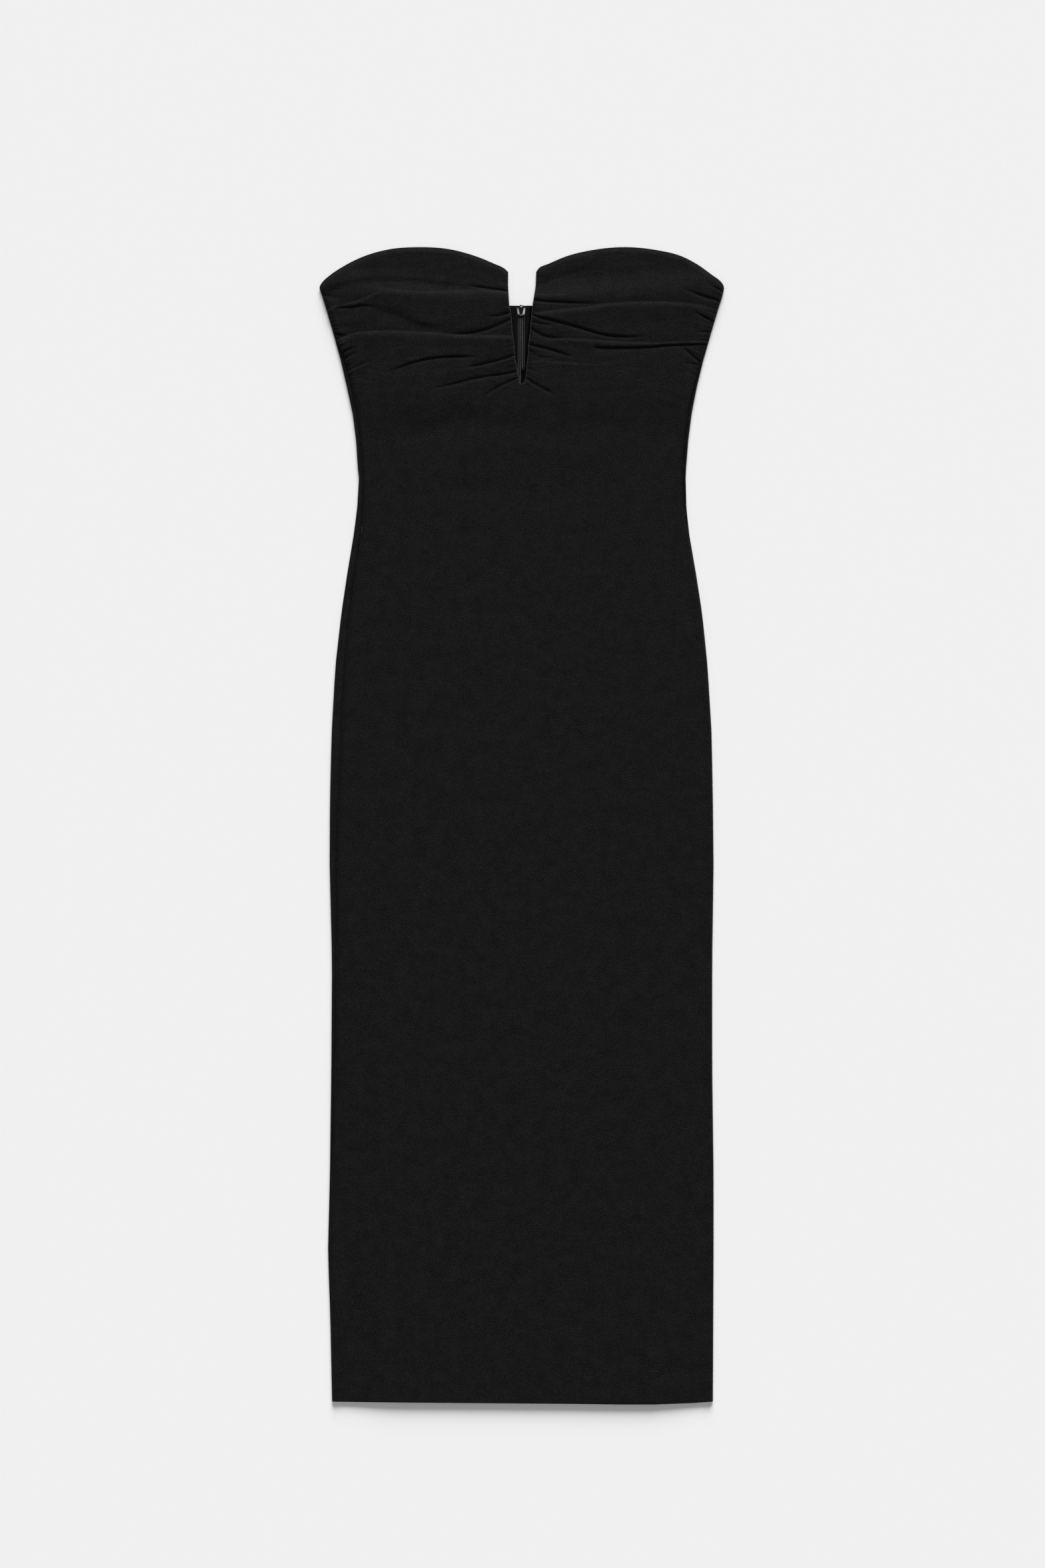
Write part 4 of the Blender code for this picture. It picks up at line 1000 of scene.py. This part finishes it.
# Cord under the loops: where each side's begins, and its height and painted shade by the distance from centre
# back
CORD_START = {-1: -0.35, 1: 0.45}
CORD_AWAY = np.array([0.5, 1.2, 2.2, 2.6, 2.85, 3.05, 3.25, 3.4])
CORD_HEIGHT = np.array([0.45, 0.5, 0.4, 0.25, 0.4, 0.85, 0.85, 0.5])
CORD_SHADE = np.array([1.0, 1.0, 1.0, 1.0, 0.8, 0.0, 0.0, 0.3])


def clear_selection():
    bpy.ops.object.select_all(action="DESELECT")


def rod_at(name, centre, radius, length, sides, tilt=0.0, turn=0.0):
    """A round rod that lies across the zip, or is tilted and turned from there."""
    clear_selection()
    bpy.ops.mesh.primitive_cylinder_add(
        vertices=sides,
        radius=radius * MM,
        depth=length * MM,
        location=[value * MM for value in centre],
        rotation=(0.0, math.pi / 2 + tilt, turn),
    )
    made = bpy.context.object
    made.name = name
    bpy.ops.object.transform_apply(location=True, rotation=True, scale=True)
    return made


def cord_grid(side):
    """Outer and inner points of the cord under one side's loops, and their places on its flat cut."""
    end = TAPE_FOOT + COIL_LENGTH
    heights = np.concatenate([np.arange(TAPE_FOOT, 1030.0, 8.0), np.arange(1030.0, end, 3.0), [end]])
    share = (CORD_AWAY - CORD_AWAY[0]) / (CORD_AWAY[-1] - CORD_AWAY[0])
    x = ZIP_X + side * (CORD_START[side] + share * (CORD_AWAY[-1] - CORD_START[side]))
    outer, inner, flat = [], [], []
    for height in heights:
        y = np.full_like(x, height - HALF_LENGTH)
        z = back_inside(x, height) + SEAM_GAP
        inner.append(np.stack([x, y, z], axis=1))
        outer.append(np.stack([x, y, z + CORD_HEIGHT], axis=1))
        flat.append(np.stack([x, y], axis=1))
    return np.array(outer), np.array(inner), np.array(flat)


coil_black = start_material("coil_black")
place = add_node(coil_black, "TexCoord", {}).outputs["Object"]
wear = add_node(coil_black, "TexNoise", {"Scale": 700.0, "Detail": 3.0, "Vector": place}).outputs["Fac"]
colour = colour_between(coil_black, wear, (0.008, 0.008, 0.009), (0.022, 0.022, 0.024))
# Painted shadow: the coils' colour and specular level drop where shade is painted on them.
darken_by_painted_shade(coil_black, colour, 0.1)
feed(coil_black, "Specular IOR Level", painted_shade_to(coil_black, 0.04, 0.6))
gloss_between(coil_black, wear, 0.3, 0.5)
for name, side in (("right", -1), ("left", 1)):
    loop_centre = (ZIP_X + side * LOOP_CENTRE, TAPE_FOOT + 0.6 - HALF_LENGTH, 0.0)
    lean = side * LOOP_TILT, side * LOOP_TURN
    coil = rod_at("zip_coil_wound_" + name, loop_centre, LOOP_RADIUS, LOOP_LENGTH, 8, *lean)
    turns = coil.modifiers.new("turns", "ARRAY")
    turns.count = int((COIL_LENGTH - 0.6) / COIL_PITCH)
    turns.use_relative_offset = False
    turns.use_constant_offset = True
    turns.constant_offset_displace = (0.0, COIL_PITCH * MM, 0.0)
    bpy.ops.object.modifier_apply(modifier="turns")
    for vertex in coil.data.vertices:
        x, y, z = (value / MM for value in vertex.co)
        base = float(back_inside(x, y + HALF_LENGTH)) + SEAM_GAP
        vertex.co.z = (base + LOOP_LEVEL + LOOP_SWELL * z) * MM
    cord = grid_sheet("cord_" + name, *cord_grid(side), 0.5)
    cord_away = np.array([abs(vertex.co.x / MM - ZIP_X) for vertex in cord.data.vertices])
    # Painted shade on the cord under the loops and in the groove beside its outer bead.
    mark_painted_shade(cord, np.interp(cord_away, CORD_AWAY, CORD_SHADE))
    mark_painted_shade(coil, np.zeros(len(coil.data.vertices)))
    clear_selection()
    cord.select_set(True)
    coil.select_set(True)
    bpy.context.view_layer.objects.active = coil
    bpy.ops.object.join()
    # Painted shadow of the notch's edge over this side's loops near the notch's foot.
    if side == 1:
        for vertex, mark in zip(coil.data.vertices, coil.data.attributes["painted_shade"].data):
            height = vertex.co.y / MM + HALF_LENGTH
            mark.value = max(mark.value, float(ease((SHADED_FOOT - height) / 5.0)))
    coil.data.shade_smooth()
    coil.data.materials.clear()
    coil.data.materials.append(coil_black)
    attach(coil, "dress")
    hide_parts("zip_coil_" + name)


# Slider.
# A small cast metal slider with a dark, lightly scuffed finish. Its body lies inside the dress over the
# coils, and a neck passes through the centre-back gap to the eye that carries the pull.
AXIS_Y = 1113.0 - HALF_LENGTH
AXIS_Z = 1.75
SLIDER_LOW = HUMP_RISE + SOLID_WALL + SEAM_GAP
SLIDER_HALF_WIDTH = 4.5
SLIDER_HALF_LENGTH = 6.3
SLIDER_HEIGHT = 2.6
SLIDER_MIDDLE_Y = SLIDER_FOOT + 6.45 - HALF_LENGTH
SLIDER_BASE = 0.25
SQUARENESS = 0.62
WAIST = 0.24
EYE_WIDTH = 1.6


def box_at(name, centre, size):
    clear_selection()
    bpy.ops.mesh.primitive_cube_add(size=1.0, location=[value * MM for value in centre])
    made = bpy.context.object
    made.name = name
    made.scale = [value * MM for value in size]
    bpy.ops.object.transform_apply(location=True, rotation=True, scale=True)
    return made


def round_edges(piece, wanted, radius, segments):
    """Rounds only the edges whose two ends, in millimetres, answer to wanted."""
    clear_selection()
    piece.select_set(True)
    bpy.context.view_layer.objects.active = piece
    bpy.ops.object.mode_set(mode="EDIT")
    bpy.ops.mesh.select_mode(type="EDGE")
    bpy.ops.mesh.select_all(action="DESELECT")
    shape = bmesh.from_edit_mesh(piece.data)
    for edge in shape.edges:
        edge.select = wanted(*(vertex.co / MM for vertex in edge.verts))
    shape.select_flush_mode()
    bmesh.update_edit_mesh(piece.data)
    bpy.ops.mesh.bevel(offset=radius * MM, segments=segments, affect="EDGES")
    bpy.ops.object.mode_set(mode="OBJECT")


def join_solid(target, tool, operation):
    """Joins a tool to a piece, or cuts it out, and removes the tool."""
    change = target.modifiers.new("combine", "BOOLEAN")
    change.operation = operation
    change.solver = "EXACT"
    change.object = tool
    clear_selection()
    target.select_set(True)
    bpy.context.view_layer.objects.active = target
    bpy.ops.object.modifier_apply(modifier="combine")
    bpy.data.objects.remove(tool, do_unlink=True)


clear_selection()
bpy.ops.mesh.primitive_uv_sphere_add(segments=56, ring_count=32, radius=1.0)
slider = bpy.context.object
slider.name = "zip_slider_cast"
for vertex in slider.data.vertices:
    x, y, z = vertex.co
    across = math.hypot(x, y)
    bearing = math.atan2(y, x)
    squared_x = math.copysign(abs(math.cos(bearing)) ** SQUARENESS, math.cos(bearing)) * across
    squared_y = math.copysign(abs(math.sin(bearing)) ** SQUARENESS, math.sin(bearing)) * across
    narrow = 1.0 - WAIST * float(ease(0.25 - 0.75 * squared_y))
    vertex.co.x = (ZIP_X + SLIDER_HALF_WIDTH * narrow * squared_x) * MM
    vertex.co.y = (SLIDER_MIDDLE_Y + SLIDER_HALF_LENGTH * squared_y) * MM
    ridge = max(0.1, (1.0 - abs(squared_x) ** 1.5) * (1.0 - abs(squared_y) ** 6))
    rise = SLIDER_BASE * z
    if z > 0:
        rise = (SLIDER_HEIGHT - SLIDER_BASE) * ridge * float(ease(z / 0.25))
    vertex.co.z = (SLIDER_LOW + SLIDER_BASE + rise) * MM
clear_selection()
bpy.ops.mesh.primitive_uv_sphere_add(segments=32, ring_count=20, radius=1.0)
lip = bpy.context.object
lip.scale = (3.7 * MM, 1.9 * MM, 1.9 * MM)
lip.location = (ZIP_X * MM, (SLIDER_FOOT + 2.1 - HALF_LENGTH) * MM, (SLIDER_LOW + 0.8) * MM)
bpy.ops.object.transform_apply(location=True, rotation=True, scale=True)
join_solid(slider, lip, "UNION")
tip = box_at("tip", (ZIP_X - 0.3, SLIDER_MIDDLE_Y + 6.0, SLIDER_LOW + 0.7), (1.6, 1.2, 0.9))
join_solid(slider, tip, "UNION")
neck = box_at("neck", (ZIP_X, AXIS_Y, 3.4), (EYE_WIDTH, 6.0, 2.2))
join_solid(slider, neck, "UNION")
eye = rod_at("eye", (ZIP_X, AXIS_Y, AXIS_Z), 1.3, EYE_WIDTH, 24)
web = box_at("web", (ZIP_X, AXIS_Y, AXIS_Z + 0.55), (EYE_WIDTH, 2.6, 1.1))
join_solid(eye, web, "UNION")
hole = rod_at("hole", (ZIP_X, AXIS_Y, AXIS_Z), 0.68, 4.0, 20)
join_solid(eye, hole, "DIFFERENCE")
join_solid(slider, eye, "UNION")

slider_metal = start_material("slider_metal", Metallic=1.0)
place = add_node(slider_metal, "TexCoord", {}).outputs["Object"]
scuff = add_node(slider_metal, "TexNoise", {"Scale": 900.0, "Detail": 5.0, "Vector": place}).outputs["Fac"]
worn = colour_between(slider_metal, scuff, (0.042, 0.042, 0.044), (0.06, 0.06, 0.062), 0.35, 0.75)
feed(slider_metal, "Base Color", worn)
gloss_between(slider_metal, scuff, 0.16, 0.24)


def finish_casting(piece, rim_width):
    """Softens the casting's sharp rims, smooths its faces and gives it its metal."""
    rim = piece.modifiers.new("rim", "BEVEL")
    rim.width = rim_width * MM
    rim.segments = 2
    rim.angle_limit = math.radians(40.0)
    bpy.ops.object.modifier_apply(modifier="rim")
    piece.data.shade_smooth()
    bpy.ops.object.shade_smooth_by_angle(angle=math.radians(35.0))
    piece.data.materials.clear()
    piece.data.materials.append(slider_metal)


finish_casting(slider, 0.12)
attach(slider, "dress")
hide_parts("zip_slider")


# Pull.
# A flat cast drop of the same metal that hangs from the slider's eye by a round bar, on the outside of
# the back. It swings about the bar.
PULL_MIDDLE_Y = AXIS_Y - 10.7
PULL_THICK = 1.0
PULL_FLARE = 1.38
pull = box_at("zip_pull_drop", (ZIP_X, PULL_MIDDLE_Y, AXIS_Z), (4.4, 22.6, PULL_THICK))
for vertex in pull.data.vertices:
    if vertex.co.y / MM < PULL_MIDDLE_Y:
        vertex.co.x = (ZIP_X + (vertex.co.x / MM - ZIP_X) * PULL_FLARE) * MM
round_edges(pull, lambda a, b: abs(a.z - b.z) > 0.5 and max(a.y, b.y) < PULL_MIDDLE_Y, 2.2, 6)
round_edges(pull, lambda a, b: abs(a.z - b.z) > 0.5 and min(a.y, b.y) > PULL_MIDDLE_Y, 0.5, 3)
window = box_at("window", (ZIP_X, AXIS_Y + 0.3, AXIS_Z), (2.2, 5.4, 3.0))
join_solid(pull, window, "DIFFERENCE")
for level in (-1, 1):
    panel = box_at("panel", (ZIP_X, AXIS_Y - 13.5, AXIS_Z + level * PULL_THICK / 2), (2.6, 11.0, 0.3))
    join_solid(pull, panel, "DIFFERENCE")
bar = rod_at("bar", (ZIP_X, AXIS_Y, AXIS_Z), 0.45, 3.4, 20)
join_solid(pull, bar, "UNION")
finish_casting(pull, 0.1)
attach(pull, "pull")
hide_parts("zip_pull")


# Surface, light and camera.
# A plain pale surface under the dress, even light from all round, a soft key from beyond the bust, and
# a low fill from each side that casts no shadow. The camera looks straight down.
clear_selection()
bpy.ops.mesh.primitive_plane_add(size=8.0, location=(0.0, 0.0, -0.0002))
surface = bpy.context.object
surface.name = "surface"
bpy.ops.object.transform_apply(location=True, rotation=True, scale=True)
pale = start_material("pale_surface", Base_Color=(0.9, 0.9, 0.9, 1.0), Roughness=0.9, Specular_IOR_Level=0.1)
surface.data.materials.append(pale)

world = bpy.data.worlds.new("studio")
bpy.context.scene.world = world
world.use_nodes = True
background = world.node_tree.nodes["Background"]
background.inputs["Color"].default_value = (1.0, 1.0, 1.0, 1.0)
background.inputs["Strength"].default_value = 0.1865


def sun(name, energy, angle, rotation):
    """A distant soft light. The angle and the rotation are in degrees."""
    made = bpy.data.objects.new(name, bpy.data.lights.new(name, "SUN"))
    made.data.energy = energy
    made.data.angle = math.radians(angle)
    made.rotation_euler = [math.radians(turn) for turn in rotation]
    bpy.context.scene.collection.objects.link(made)
    return made


sun("key", 4.86, 34.0, (-66.0, 0.0, -4.0))
for name, energy, tilt in (("right_fill", 0.8, 68.0), ("left_fill", 0.5, -68.0)):
    sun(name, energy, 16.0, (0.0, tilt, 0.0)).data.use_shadow = False

camera = bpy.data.objects.new("camera", bpy.data.cameras.new("camera"))
camera.data.lens = 100.0
camera.data.sensor_width = 36.0
# Height in metres of what the camera takes in at the dress
FRAME_HEIGHT = 1.6005
distance = FRAME_HEIGHT / 2 * camera.data.lens / (camera.data.sensor_width / 2)
camera.location = (0.0007, 0.0427, distance + 0.003)
bpy.context.scene.collection.objects.link(camera)
bpy.context.scene.camera = camera
bpy.context.scene.view_settings.view_transform = "Standard"
